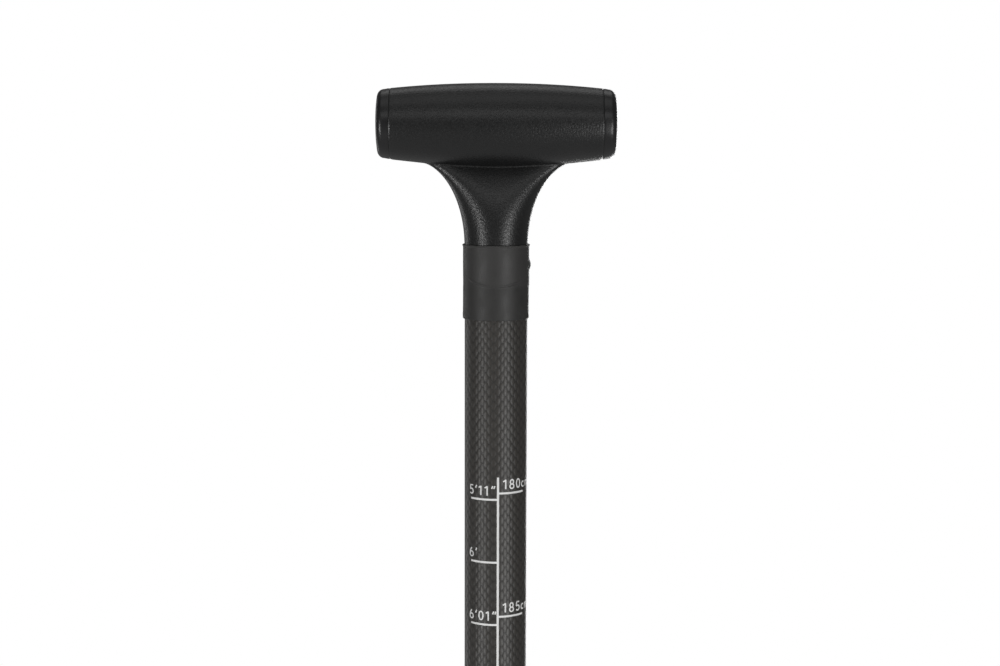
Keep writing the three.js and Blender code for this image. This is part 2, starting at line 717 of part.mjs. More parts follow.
const BLACK_PLASTIC = [0x2a2a2c, 0.55];
const GLOSS_PLASTIC = [0x262628, 0.3];
const SLEEVE = [0x3a3a3a, 0.8];
const CARBON = [0x3c3936, 0.35];
const RUBBER = [0x1c1c1c, 0.9];
const FOAM = [0xd8d4c8, 0.95];
const STEEL = [0xb8bcc0, 0.3, 1];
const ALUMINIUM = [0xc9ccd0, 0.35, 1];
const NYLON = [0xe4e1d8, 0.6];

const group = new THREE.Group();

function add(parent, name, geometry, look) {
  const mesh = new THREE.Mesh(closed(geometry), material(...look));
  mesh.name = name;
  parent.add(mesh);
}

const grip = new THREE.Group();
grip.position.z = BARREL_Z;
group.add(grip);

add(grip, 'grip_body', gripBody(), BLACK_PLASTIC);
add(grip, 'grip_cap_left', gripCap(-1), GLOSS_PLASTIC);
add(grip, 'grip_cap_right', gripCap(1), GLOSS_PLASTIC);
add(grip, 'grip_ferrule', gripFerrule(), ALUMINIUM);
add(grip, 'grip_rivet', gripRivet(), STEEL);
add(grip, 'shrink_sleeve', shrinkSleeve(), SLEEVE);

const foamTop = BARREL_Z - GRIP_FERRULE_END - 20;
add(group, 'upper_shaft', tube(SHAFT_BORE_R, SHAFT_R, SHAFT_END_Z, BARREL_Z - SHAFT_TOP), CARBON);
add(group, 'upper_foam_plug', rod(SHAFT_BORE_R - 2 * GAP, foamTop - FOAM_LENGTH, foamTop, PLAIN_SIDES), FOAM);
add(group, 'shaft_end_plug', endPlug(), BLACK_PLASTIC);
add(group, 'guide_bush', guideBush(), NYLON);

add(group, 'clamp_collar', clampCollar(), BLACK_PLASTIC);
add(group, 'clamp_seal', clampSeal(), RUBBER);
add(group, 'clamp_screw', clampScrew(), STEEL);
add(group, 'clamp_pad', clampPad(), STEEL);
add(group, 'clamp_pin', clampPin(), STEEL);
add(group, 'clamp_lever', clampLever(), GLOSS_PLASTIC);

add(group, 'middle_shaft', middleShaft(), CARBON);
add(group, 'joint_ferrule', jointFerrule(), BLACK_PLASTIC);
add(group, 'ferrule_plug', ferrulePlug(), BLACK_PLASTIC);
add(group, 'snap_button', snapButton(), STEEL);
add(group, 'button_spring', buttonSpring(), STEEL);

const lowerFoamLow = BLADE_TOP_Z - SHAFT_IN_BLADE + 10;
add(group, 'lower_shaft', lowerShaft(), CARBON);
add(group, 'lower_foam_plug', rod(WIDE_BORE_R - GAP, lowerFoamLow, lowerFoamLow + FOAM_LENGTH, PLAIN_SIDES), FOAM);
add(group, 'blade_core', bladeCore(), FOAM);
add(group, 'blade_face_skin', bladeSkin(-1), CARBON);
add(group, 'blade_back_skin', bladeSkin(1), CARBON);
add(group, 'blade_edge_guard', edgeGuard(), RUBBER);

export default group;
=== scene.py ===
"""Looks for the adjustable single blade paddle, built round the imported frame. Metres, +Z up along the shaft.

Every CAD node is replaced by a finer piece of the same size and place, and each piece takes the body and the
material slot that the record gives its node.
"""

from contextlib import contextmanager
import json
from math import atan2, cos, hypot, pi, radians, sin, tan

import bmesh
import bpy
import numpy as np
from mathutils import Matrix, Vector

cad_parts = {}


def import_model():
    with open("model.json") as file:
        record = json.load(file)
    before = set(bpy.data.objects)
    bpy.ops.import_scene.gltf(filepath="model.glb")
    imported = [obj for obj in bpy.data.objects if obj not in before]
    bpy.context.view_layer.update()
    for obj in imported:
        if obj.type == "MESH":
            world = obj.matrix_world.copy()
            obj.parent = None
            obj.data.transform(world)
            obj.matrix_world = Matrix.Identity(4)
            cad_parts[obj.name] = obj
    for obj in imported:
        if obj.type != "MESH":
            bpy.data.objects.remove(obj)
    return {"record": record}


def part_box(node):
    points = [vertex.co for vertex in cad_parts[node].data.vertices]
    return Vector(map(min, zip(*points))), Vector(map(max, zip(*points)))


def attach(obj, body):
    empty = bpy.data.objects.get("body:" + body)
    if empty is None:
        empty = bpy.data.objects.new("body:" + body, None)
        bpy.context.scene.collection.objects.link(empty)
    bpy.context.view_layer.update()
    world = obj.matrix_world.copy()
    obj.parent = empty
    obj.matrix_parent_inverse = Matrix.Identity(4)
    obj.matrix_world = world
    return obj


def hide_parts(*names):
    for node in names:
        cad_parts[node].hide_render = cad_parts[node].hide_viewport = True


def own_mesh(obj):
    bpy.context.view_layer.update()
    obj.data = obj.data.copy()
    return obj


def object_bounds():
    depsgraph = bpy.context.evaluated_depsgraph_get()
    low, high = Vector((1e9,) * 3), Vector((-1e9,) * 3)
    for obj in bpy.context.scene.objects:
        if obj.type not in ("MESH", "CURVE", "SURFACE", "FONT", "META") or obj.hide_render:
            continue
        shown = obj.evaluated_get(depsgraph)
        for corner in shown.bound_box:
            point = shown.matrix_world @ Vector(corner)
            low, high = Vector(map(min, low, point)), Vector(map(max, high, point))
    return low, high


scene = bpy.context.scene
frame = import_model()
cad_low, cad_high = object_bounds()

MM = 0.001

# ---- places and sizes taken from the frame


def low(node):
    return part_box(node)[0]


def high(node):
    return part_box(node)[1]


def middle(node):
    return (low(node) + high(node)) / 2


SHAFT_R = high("upper_shaft").x
SHAFT_TOP_Z = high("upper_shaft").z
SHAFT_END_Z = low("upper_shaft").z
WIDE_R = high("middle_shaft").x
WIDE_BORE_R = 13.2 * MM
SHAFT_BORE_R = 11.2 * MM
GAP = 0.15 * MM

# T-grip: its barrel lies along X
BARREL_HALF = high("grip_cap_right").x
SEAM_X = high("grip_body").x
GRIP_TOP_Z = high("grip_body").z
BARREL_R = high("grip_body").y
BARREL_Z = GRIP_TOP_Z - BARREL_R
SEAM_R = 13.92 * MM
CROWN_POWER = 2.1
CAP_END_R = 13.55 * MM
CAP_EDGE_R = 2.8 * MM
CAP_STEP = 0.1 * MM
CAP_DOME = 0.4 * MM
CAP_FLAT_R = 6 * MM
CAP_WALL = 2.2 * MM
SPIGOT_R = 10.2 * MM
SPIGOT_BORE_R = 8.2 * MM
SPIGOT_LENGTH = 8 * MM
BARREL_BORE_R = 10.5 * MM
# rolled lip at the barrel's ends: (distance short of the seam, dip below the crown)
BARREL_LIP = [(0.55 * MM, 0), (0.48 * MM, 0.01 * MM), (0.03 * MM, 0.12 * MM), (0, 0.14 * MM), (0, 1.6 * MM)]
BARREL_CUT = 0.8 * MM
BARREL_BORE_DEPTH = 6 * MM

# neck of the grip, measured down from the barrel's axis
NECK_R = 12.6 * MM
NECK_ROOT = 6 * MM
NECK_FLARE = 20 * MM
NECK_TOP = 14.6 * MM
NECK_FLARE_END = 48.1 * MM
NECK_THIN = 3.4 * MM
NECK_CHANGE_POWER = 3
NECK_SQUARING = 1.6
NECK_END = BARREL_Z - low("grip_body").z
CREASE_BLEND = 0.7 * MM
BARREL_SAG = 0.085
BARREL_SAG_REACH = 26 * MM
BARREL_SAG_FADE = 12 * MM
VOXEL = 0.45 * MM

# heat-shrunk sleeve
SLEEVE_TOP_Z = high("shrink_sleeve").z
SLEEVE_LOW_Z = low("shrink_sleeve").z
SLEEVE_R = 13.15 * MM
SLEEVE_LOW_R = 13.1 * MM
SLEEVE_WALL = 0.35 * MM
SLEEVE_LIP = 0.35 * MM
SLEEVE_LIP_RISE = 0.3 * MM
SLEEVE_OVAL = 0.1 * MM
SLEEVE_WOBBLE = 0.035 * MM
FOLD_BELOW_JOINT = 1.9 * MM
FOLD_FADE = 1.9 * MM
FOLD_CURL = 7 * MM
BEAD_HALF = 0.45 * MM
CRINKLE_LENGTH = 6 * MM
CRINKLE = 0.1 * MM
NUB_R = 1.75 * MM
NUB_RISE = 0.62 * MM
RIVET_Z = middle("grip_rivet").z
RIVET_R = 1.2 * MM
RIVET_HEAD_R = 2.2 * MM
GRIP_FERRULE_BORE_R = 9.3 * MM

# printed scale: the first centimetre mark is 180, and marks follow downwards
MARK_180_Z = GRIP_TOP_Z - 161.5 * MM
SCALE_LAST_CM = 220
SCALE_INCHES = range(71, 87)
SCALE_TURN = radians(4.4)
CM_PER_INCH = 2.54
INCH_SCALE_SHIFT = 0.85 * MM
INK = 0.03 * MM
LINE_WIDTH = 0.88 * MM
TICK_WIDTH = 0.8 * MM
TICK_LENGTH = 12 * MM
LINE_RISE = 6.4 * MM
GLYPH_HEIGHT = 4.1 * MM
GLYPH_RISE = 1.5 * MM
CM_TEXT_FROM = 1.85 * MM
INCH_TEXT_FROM = -13.05 * MM
GLYPH_STROKE = 0.56 * MM
GLYPH_STRETCH = 1.05
GLYPH_SPACE = 0.52 * MM

# plug and bush at the handle shaft's end
BUSH_SEAT_R = 9 * MM
BUSH_BORE_R = 9.2 * MM
GROOVE = 0.4 * MM
PLUG_FLANGE = 4 * MM

# clamp
COLLAR_R = -low("clamp_collar").x
COLLAR_LOW_Z = low("clamp_collar").z
COLLAR_TOP_Z = high("clamp_collar").z
COLLAR_BORE_R = 14.75 * MM
CLAMP_Z = (COLLAR_LOW_Z + COLLAR_TOP_Z) / 2
EAR_Y = (13 * MM, high("clamp_collar").y)
EAR_HALF_X = 7 * MM
EAR_HALF_Z = 15 * MM
SPLIT_HALF = 1.4 * MM
SCREW_Y = middle("clamp_screw").y
SCREW_R = 2 * MM
SCREW_HEAD_R = 3.8 * MM
SCREW_HEAD_X = -4.7 * MM
THREAD_FROM_X = 4 * MM
THREAD_PITCH = 0.7 * MM
PIN_X = middle("clamp_pin").x
PIN_R = high("clamp_pin").x - PIN_X
CAM_R = 5.2 * MM
CAM_OFFSET = 0.5 * MM
LEVER_HALF_Z = high("clamp_lever").z - CLAMP_Z
LEVER_IN_R = 20 * MM
LEVER_OUT_R = 24.5 * MM
LEVER_LIP_R = 28 * MM
LEVER_ROOT_R = 27.5 * MM
LEVER_FROM, LEVER_TO = radians(55), radians(-58)
LEVER_SLOT_R = 8 * MM
LEVER_SLOT_HALF = 3.5 * MM
RIB_R = 0.75 * MM
RIB_HALF = 6.2 * MM

# ferrule joint
FERRULE_R = high("joint_ferrule").x
FERRULE_BORE_R = 11.2 * MM
BUTTON_Z = middle("snap_button").z
BUTTON_OUT = -low("snap_button").y
BUTTON_HOLE_R = 4.1 * MM
BUTTON_R = 3.8 * MM
BUTTON_FLANGE_R = 5 * MM
BUTTON_DOME = 1.8 * MM
SPRING_WALL = 0.6 * MM

# blade
BLADE_TOP_Z = high("blade_core").z
BLADE_LENGTH = BLADE_TOP_Z - low("blade_edge_guard").z
BLADE_HALF = high("blade_edge_guard").x
SHAFT_IN_BLADE = BLADE_TOP_Z - low("lower_shaft").z
THROAT_R = 17.5 * MM
THROAT_LENGTH = 25 * MM
WIDEST = 300 * MM
TIP_POWER = 2.6
BLADE_LEAN = radians(9)
LEAN_START = 40 * MM
LEAN_BLEND = 60 * MM
TIP_HALF = 3.2 * MM
TIP_THINNING = 35 * MM
SPINE_EXTRA = 2.3 * MM
EDGE_HALF = 2 * MM
GUARD_WIDTH = 3.9 * MM
CORE_INSET = GUARD_WIDTH + 2 * GAP
CORE_BEHIND_SEAM = 0.8 * MM  # the core stays this far behind the open seam above the guard
SKIN = 0.8 * MM
GUARD_FROM = 2 / 9
LAST_STATION = 1.985
SECTION_STEPS = 44

FINE_SIDES = 128
SMALL_SIDES = 48


# ---- shape helpers


def smooth(t):
    t = np.clip(t, 0, 1)
    return t * t * (3 - 2 * t)


def linked(name, data):
    obj = bpy.data.objects.new(name, data)
    scene.collection.objects.link(obj)
    return obj


@contextmanager
def edited(mesh):
    """Lends the mesh as a bmesh and takes it back when the with block ends."""
    shape = bmesh.new()
    shape.from_mesh(mesh)
    yield shape
    shape.to_mesh(mesh)
    shape.free()


def make(points, faces):
    """A mesh object with outward faces."""
    mesh = bpy.data.meshes.new("shape")
    mesh.from_pydata([tuple(map(float, p)) for p in points], [], faces)
    with edited(mesh) as shape:
        bmesh.ops.recalc_face_normals(shape, faces=shape.faces)
    return linked("shape", mesh)


def softened(profile, radius, steps=4):
    """Rounds the corners of a list of points. A closed list ends where it starts."""
    closed = profile[0] == profile[-1]
    stops = [np.array(p, float) for p in (profile[:-1] if closed else profile)]
    rounded = []
    for i, corner in enumerate(stops):
        if not closed and i in (0, len(stops) - 1):
            rounded.append(tuple(corner))
            continue
        before = stops[i - 1] - corner
        after = stops[(i + 1) % len(stops)] - corner
        trim = min(radius, 0.45 * np.linalg.norm(before), 0.45 * np.linalg.norm(after))
        start = corner + before / np.linalg.norm(before) * trim
        end = corner + after / np.linalg.norm(after) * trim
        for t in np.linspace(0, 1, steps + 1):
            rounded.append(tuple((1 - t) ** 2 * start + 2 * t * (1 - t) * corner + t * t * end))
    return rounded + rounded[:1] if closed else rounded


def arc(x, y, wide, tall, start, end, steps=14):
    turns = np.radians(np.linspace(start, end, steps))
    return [(x + wide * cos(a), y + tall * sin(a)) for a in turns]


def turned(profile, sides=FINE_SIDES):
    """A profile of (radius, height) pairs turned about Z, closed on itself or from axis to axis."""
    closed = profile[0] == profile[-1]
    points = []
    rows = []
    for radius, height in profile[:-1] if closed else profile:
        count = 1 if radius < 1e-7 else sides
        rows.append([len(points) + k % count for k in range(sides)])
        for k in range(count):
            turn = 2 * pi * k / sides
            points.append((radius * cos(turn), radius * sin(turn), height))
    pairs = list(zip(rows, rows[1:])) + ([(rows[-1], rows[0])] if closed else [])
    faces = []
    for one, two in pairs:
        for k in range(sides):
            m = (k + 1) % sides
            corners = list(dict.fromkeys([one[k], one[m], two[m], two[k]]))
            if len(corners) > 2:
                faces.append(corners)
    return make(points, faces)


def tube(inner, outer, bottom, top, edge=0.3 * MM, sides=FINE_SIDES):
    profile = [(inner, bottom), (outer, bottom), (outer, top), (inner, top), (inner, bottom)]
    return turned(softened(profile, edge), sides)


def stepped(bottom, *steps, edge=0.3 * MM, sides=SMALL_SIDES):
    """A solid turned rod. Each step is a radius and the height that it goes up to."""
    profile = [(0, bottom)]
    for radius, top in steps:
        profile += [(radius, profile[-1][1]), (radius, top)]
    profile.append((0, profile[-1][1]))
    return turned(softened(profile, edge) if edge else profile, sides)


def rod(radius, bottom, top, edge=0.3 * MM, sides=SMALL_SIDES):
    return stepped(bottom, (radius, top), edge=edge, sides=sides)


def plate(outline, bottom, top):
    """A flat outline in X and Y, extruded between two heights."""
    count = len(outline)
    points = [(x, y, z) for z in (bottom, top) for x, y in outline]
    faces = [list(range(count)), list(range(count, 2 * count))]
    faces += [[k, (k + 1) % count, count + (k + 1) % count, count + k] for k in range(count)]
    return make(points, faces)


def block(xs, ys, zs):
    return plate([(xs[0], ys[0]), (xs[1], ys[0]), (xs[1], ys[1]), (xs[0], ys[1])], *zs)


def grid_faces(rows, columns, start=0, wrap=False):
    """Quads of a grid of points, row by row. A wrapped grid's rows close into rings."""
    faces = []
    for i in range(rows - 1):
        for j in range(columns if wrap else columns - 1):
            a = start + i * columns + j
            b = start + i * columns + (j + 1) % columns
            faces.append([a, b, b + columns, a + columns])
    return faces


def loft(rings):
    """A closed skin over rings with the same number of points, with a flat face over each end."""
    count = len(rings[0])
    points = [p for ring in rings for p in ring]
    faces = grid_faces(len(rings), count, wrap=True)
    faces.append(list(range(count)))
    faces.append(list(range(len(points) - count, len(points))))
    return make(points, faces)


def sheet(outer, inner):
    """A closed sheet between two grids of points of the same size."""
    rows, columns = len(outer), len(outer[0])
    points = [p for grid in (outer, inner) for row in grid for p in row]
    under = rows * columns
    faces = grid_faces(rows, columns) + grid_faces(rows, columns, under)
    index = np.arange(under).reshape(rows, columns)
    rim = np.concatenate([index[0], index[1:, -1], index[-1, -2::-1], index[-2:0:-1, 0]]).tolist()
    for a, b in zip(rim, rim[1:] + rim[:1]):
        faces.append([a, b, b + under, a + under])
    return make(points, faces)


def moved(obj, matrix):
    obj.data.transform(matrix)
    return obj


def along_x(obj):
    return moved(obj, Matrix.Rotation(pi / 2, 4, "Y"))


def along_minus_y(obj):
    return moved(obj, Matrix.Rotation(pi / 2, 4, "X"))


def shifted(obj, x=0, y=0, z=0):
    return moved(obj, Matrix.Translation((x, y, z)))


def applied(obj):
    """Makes the object's modifiers part of its mesh."""
    depsgraph = bpy.context.evaluated_depsgraph_get()
    mesh = bpy.data.meshes.new_from_object(obj.evaluated_get(depsgraph), depsgraph=depsgraph)
    obj.modifiers.clear()
    obj.data = mesh
    return obj


def combined(obj, others, operation):
    """Joins or cuts an object with others, which are used up."""
    for other in others:
        step = obj.modifiers.new("combine", "BOOLEAN")
        step.operation = operation
        step.solver = "EXACT"
        step.object = other
        applied(obj)
        bpy.data.objects.remove(other)
    with edited(obj.data) as shape:
        bmesh.ops.remove_doubles(shape, verts=shape.verts, dist=0.001 * MM)
        bmesh.ops.dissolve_degenerate(shape, edges=shape.edges, dist=0.001 * MM)
    return obj


def cut(obj, *others):
    return combined(obj, others, "DIFFERENCE")


def joined(obj, *others):
    return combined(obj, others, "UNION")


def bevelled(obj, width, segments=2, angle=40):
    step = obj.modifiers.new("edges", "BEVEL")
    step.width = width
    step.segments = segments
    step.limit_method = "ANGLE"
    step.angle_limit = radians(angle)
    return applied(obj)


# ---- materials

GRAIN = 0.7 * MM
GRAIN_HEIGHT = 0.09 * MM
WEAVE_ALONG = 1.91 * MM
WEAVE_AROUND = 1.571 * MM
WEAVE_HEIGHT = 0.19 * MM
CROWN_HALF_WIDTH = 0.85
CROWN_HALF_LENGTH = 1.2
BLADE_TOW = 2.1 * MM


class Graph:
    """Short ways to add nodes to a node tree. An input takes a value or another node's output."""

    def __init__(self, tree):
        self.nodes = tree.nodes
        self.links = tree.links

    def feed(self, node, inputs):
        for key, value in inputs.items():
            if hasattr(value, "is_linked"):
                self.links.new(value, node.inputs[key])
            else:
                node.inputs[key].default_value = value

    def node(self, kind, inputs=(), **settings):
        made = self.nodes.new(kind)
        for key, value in settings.items():
            setattr(made, key, value)
        self.feed(made, dict(inputs))
        return made

    def math(self, operation, *values):
        return self.node("ShaderNodeMath", enumerate(values), operation=operation).outputs[0]

    def place(self):
        """The point's x, y and z in the part's own frame, in metres."""
        point = self.node("ShaderNodeTexCoord").outputs["Object"]
        return self.node("ShaderNodeSeparateXYZ", {0: point}).outputs

    def vector(self, x, y, z):
        return self.node("ShaderNodeCombineXYZ", {0: x, 1: y, 2: z}).outputs[0]

    def texture(self, kind, place, **inputs):
        return self.node(kind, {"Vector": self.vector(*place), "Scale": 1.0, **inputs}).outputs

    def noise(self, size, detail=2.0, stretch=(1, 1, 1)):
        """Soft noise with features of a size in metres, stretched along the axes."""
        place = (self.math("DIVIDE", p, size * s) for p, s in zip(self.place(), stretch))
        return self.texture("ShaderNodeTexNoise", place, Detail=detail)["Fac"]

    def cells(self, size):
        place = (self.math("DIVIDE", p, size) for p in self.place())
        return self.texture("ShaderNodeTexVoronoi", place)["Distance"]

    def between(self, value, from_low, from_high, to_low, to_high):
        inputs = {0: value, 1: from_low, 2: from_high, 3: to_low, 4: to_high}
        return self.node("ShaderNodeMapRange", inputs).outputs[0]


class Look(Graph):
    """A material with one Principled shader."""

    def __init__(self, name, roughness, specular=0.5, metallic=0.0, coat=0.0, coat_roughness=0.03):
        self.material = bpy.data.materials.new(name)
        self.material.use_nodes = True
        super().__init__(self.material.node_tree)
        self.shader = self.nodes["Principled BSDF"]
        finish = {"Roughness": roughness, "Metallic": metallic, "Specular IOR Level": specular}
        self.feed(self.shader, {**finish, "Coat Weight": coat, "Coat Roughness": coat_roughness})

    def colour(self, value, dark, light):
        """Base colour from dark at 0 to light at 1."""
        mix = self.node("ShaderNodeMix", {"Factor": value}, data_type="RGBA")
        mix.inputs["A"].default_value = (*dark, 1)
        mix.inputs["B"].default_value = (*light, 1)
        self.feed(self.shader, {"Base Color": mix.outputs["Result"]})

    def rough(self, value, to_low, to_high, from_low=0.3, from_high=0.7):
        """Roughness from to_low to to_high while value goes from from_low to from_high."""
        self.feed(self.shader, {"Roughness": self.between(value, from_low, from_high, to_low, to_high)})

    def bump(self, height, depth):
        """Raises the surface by depth, in metres, where height is 1. Several calls stack."""
        made = self.node("ShaderNodeBump", {"Height": height, "Strength": 1.0, "Distance": depth})
        held = self.shader.inputs["Normal"]
        if held.is_linked:
            self.feed(made, {"Normal": held.links[0].from_socket})
        self.feed(self.shader, {"Normal": made.outputs["Normal"]})
        return self


def moulded_grain():
    """Satin black plastic with the fine pebbled grain of an etched mould."""
    look = Look("moulded grain", 0.4, 0.5)
    patches = look.noise(9 * MM, detail=3)
    grain = look.noise(GRAIN, detail=1)
    look.colour(patches, (0.0068, 0.0069, 0.0071), (0.0118, 0.012, 0.0122))
    look.rough(grain, 0.3, 0.42)
    return look.bump(grain, GRAIN_HEIGHT).bump(look.noise(12 * MM), 0.05 * MM)


def shrink_film():
    look = Look("shrink film", 0.54, 0.45)
    mottle = look.noise(5 * MM, detail=4)
    # The film over the neck, above the joint, is painted lighter than below it: painted light, added to the
    # random mottle.
    painted_light_over_neck = look.between(look.place()[2], SHAFT_TOP_Z - 3 * MM, SHAFT_TOP_Z, 0.0, 0.6)
    look.colour(look.math("ADD", mottle, painted_light_over_neck), (0.02, 0.02, 0.019), (0.036, 0.035, 0.034))
    look.rough(mottle, 0.48, 0.6)
    look.bump(look.noise(3 * MM, detail=2, stretch=(1, 1, 4)), 0.05 * MM)
    return look.bump(look.noise(0.4 * MM, detail=1), 0.01 * MM)


def carbon_cloth(look, u, v):
    """Woven carbon with long crowns in staggered columns. A step of u or v is one tow."""

    def reach(along, shift, half):
        off = look.math("PINGPONG", look.math("ADD", along, shift), 1.0)
        return look.math("POWER", look.math("DIVIDE", off, half), 2.0)

    def crown(shift):
        around = reach(u, shift, CROWN_HALF_WIDTH)
        return look.math("SUBTRACT", 1.0, look.math("ADD", around, reach(v, shift, CROWN_HALF_LENGTH)))

    height = look.math("MAXIMUM", crown(0.0), crown(1.0))
    thread = (look.math("MULTIPLY", u, 8.0), look.math("MULTIPLY", v, 0.6), 0.0)
    fibres = look.texture("ShaderNodeTexNoise", thread, Detail=2.0)["Fac"]
    streaks = look.between(fibres, 0.25, 0.75, 0.7, 1.3)
    # Colour runs from dark in the gaps between tows to light on the crowns: painted shade in the gaps and a
    # painted sheen on the crowns, multiplied by the fibre streaks.
    painted_sheen_and_streaks = look.math("MULTIPLY", look.between(height, 0.1, 0.9, 0.15, 1.0), streaks)
    look.colour(painted_sheen_and_streaks, (0.006, 0.0055, 0.0049), (0.044, 0.0402, 0.0354))
    look.rough(look.math("MULTIPLY", height, fibres), 0.54, 0.38, 0.0, 0.6)
    return look.bump(height, WEAVE_HEIGHT).bump(fibres, 0.01 * MM)


def carbon_tube(name, radius):
    look = Look(name, 0.5, coat=0.06, coat_roughness=0.35)
    x, y, z = look.place()
    columns = 2 * round(pi * radius / WEAVE_AROUND)
    u = look.math("MULTIPLY", look.math("ARCTAN2", y, x), columns / (2 * pi))
    return carbon_cloth(look, u, look.math("DIVIDE", z, WEAVE_ALONG))


def carbon_blade():
    look = Look("blade laminate", 0.3, coat=0.4, coat_roughness=0.16)
    x, _, z = look.place()
    return carbon_cloth(look, *(look.math("DIVIDE", p, BLADE_TOW) for p in (x, z)))


def mottled(name, shine, colours, blotch, roughness, texture):
    """Blotches vary the colour and the roughness of plastic, rubber or ink, over a fine texture."""
    look = Look(name, *shine)
    blotches = look.noise(*blotch)
    look.colour(blotches, *colours)
    look.rough(blotches, *roughness)
    size, detail, height = texture
    return look.bump(look.noise(size, detail), height)


def smooth_cap():
    colours = (0.007, 0.007, 0.0075), (0.012, 0.012, 0.0125)
    smudges, roughness, waves = (6 * MM, 4), (0.29, 0.4, 0.3, 0.75), (2.5 * MM, 2, 0.006 * MM)
    return mottled("smooth cap", (0.33, 0.5), colours, smudges, roughness, waves)


def moulded_rubber():
    colours = (0.008, 0.008, 0.008), (0.02, 0.02, 0.02)
    return mottled("rubber", (0.75, 0.3), colours, (4 * MM, 5), (0.68, 0.85), (0.3 * MM, 2, 0.03 * MM))


def white_ink():
    colours = (0.84, 0.84, 0.83), (0.93, 0.93, 0.92)
    return mottled("white ink", (0.5, 0.4), colours, (0.5 * MM, 3), (0.45, 0.6), (0.6 * MM, 2, 0.01 * MM))


def filled_nylon(name, roughness, dark, light):
    """Moulded engineering plastic: faint flow marks, and a fine matt texture."""
    flow = (7 * MM, 4, (1, 1, 2.5))
    spread = (roughness - 0.06, roughness + 0.08)
    return mottled(name, (roughness, 0.45), (dark, light), flow, spread, (0.35 * MM, 1, 0.03 * MM))


def closed_cell_foam():
    look = Look("foam", 0.9, 0.2)
    cell = look.cells(0.9 * MM)
    look.colour(cell, (0.6, 0.56, 0.46), (0.78, 0.75, 0.66))
    look.rough(look.noise(5 * MM), 0.84, 0.96)
    return look.bump(cell, 0.2 * MM)


def metal(name, base, roughness, stretch):
    """Bare metal with fine drawing or brushing marks along one axis."""
    look = Look(name, roughness, metallic=1.0)
    marks = look.noise(0.25 * MM, detail=3, stretch=stretch)
    look.colour(marks, tuple(0.82 * c for c in base), base)
    look.rough(marks, roughness - 0.08, roughness + 0.1)
    return look.bump(marks, 0.006 * MM)


BLACK, DARK_GREY = (0.012, 0.012, 0.013), (0.024, 0.024, 0.025)
looks = {
    "grip_plastic": moulded_grain(),
    "cap_plastic": smooth_cap(),
    "shrink_tube": shrink_film(),
    "carbon": carbon_tube("carbon handle shaft", SHAFT_R),
    "blade_laminate": carbon_blade(),
    "clamp_plastic": filled_nylon("clamp nylon", 0.42, BLACK, DARK_GREY),
    "edge_plastic": filled_nylon("edge rail", 0.48, (0.01, 0.01, 0.01), (0.02, 0.02, 0.02)),
    "nylon": filled_nylon("turned nylon", 0.5, (0.035, 0.035, 0.037), (0.06, 0.06, 0.062)),
    "rubber": moulded_rubber(),
    "foam": closed_cell_foam(),
    "steel": metal("stainless steel", (0.62, 0.63, 0.64), 0.28, (1, 1, 14)),
    "aluminium": metal("drawn aluminium", (0.75, 0.76, 0.78), 0.34, (1, 1, 20)),
}
wide_carbon = carbon_tube("carbon wide shaft", WIDE_R)
ink = white_ink()

slot_of = {row["node"]: row["material_slot"] for row in frame["record"]["subparts"]}
body_of = {node: body for body, nodes in frame["record"]["behaviour"]["bodies"].items() for node in nodes}


def piece(obj, node, look=None, sharp=35):
    """Makes obj stand for a CAD node, with the node's body and material slot."""
    obj.name = f"{node}_shape"
    obj.data.materials.clear()
    obj.data.materials.append((look or looks[slot_of[node]]).material)
    obj.data.shade_smooth()
    obj.data.set_sharp_from_angle(angle=radians(sharp))
    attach(obj, body_of[node])
    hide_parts(node)
    return obj


# ---- T-grip


def barrel_radius(x):
    return BARREL_R - (BARREL_R - SEAM_R) * (np.abs(x) / SEAM_X) ** CROWN_POWER


def neck_section(drop):
    """Half width, half depth and superellipse power of the neck at a distance below the barrel's axis."""
    rise = np.clip((NECK_FLARE_END - drop) / (NECK_FLARE_END - NECK_TOP), 0, 1)
    wide = NECK_R + NECK_FLARE * (1 - np.sqrt(1 - rise * rise))
    share = rise**NECK_CHANGE_POWER
    return wide, NECK_R - (NECK_R - NECK_THIN) * share, 2 + NECK_SQUARING * share


def grip_field(points):
    """Signed distance, nearly, to barrel and neck with a fillet where they meet. Negative is inside."""
    x, y, z = points.T
    drop = BARREL_SAG * np.exp(-((x / BARREL_SAG_REACH) ** 2)) * smooth(-z / BARREL_SAG_FADE)
    barrel = np.hypot(y, z * (1 - drop)) - barrel_radius(x)
    wide, deep, power = neck_section(-z)
    across = np.abs(x / wide)
    through = np.abs(y / deep)
    reach = np.maximum((across**power + through**power) ** (1 / power), 0.05)
    slope = np.hypot(across ** (power - 1) / wide, through ** (power - 1) / deep) * reach ** (1 - power)
    neck = np.maximum((reach - 1) / np.maximum(slope, 1), z + NECK_ROOT)
    near = np.maximum(CREASE_BLEND - np.abs(barrel - neck), 0) / CREASE_BLEND
    union = np.minimum(barrel, neck) - near * near * CREASE_BLEND / 4
    return np.maximum(union, -z - NECK_END)


def pulled_onto(field, points, rounds=5):
    """Moves points along the field's slope until they lie on its surface."""
    step = 0.01 * MM
    for _ in range(rounds):
        value = field(points)
        slope = np.stack([field(points + step * axis) - value for axis in np.eye(3)], 1) / step
        points = points - slope * (value / np.maximum((slope**2).sum(1), 0.05))[:, None]
    return points


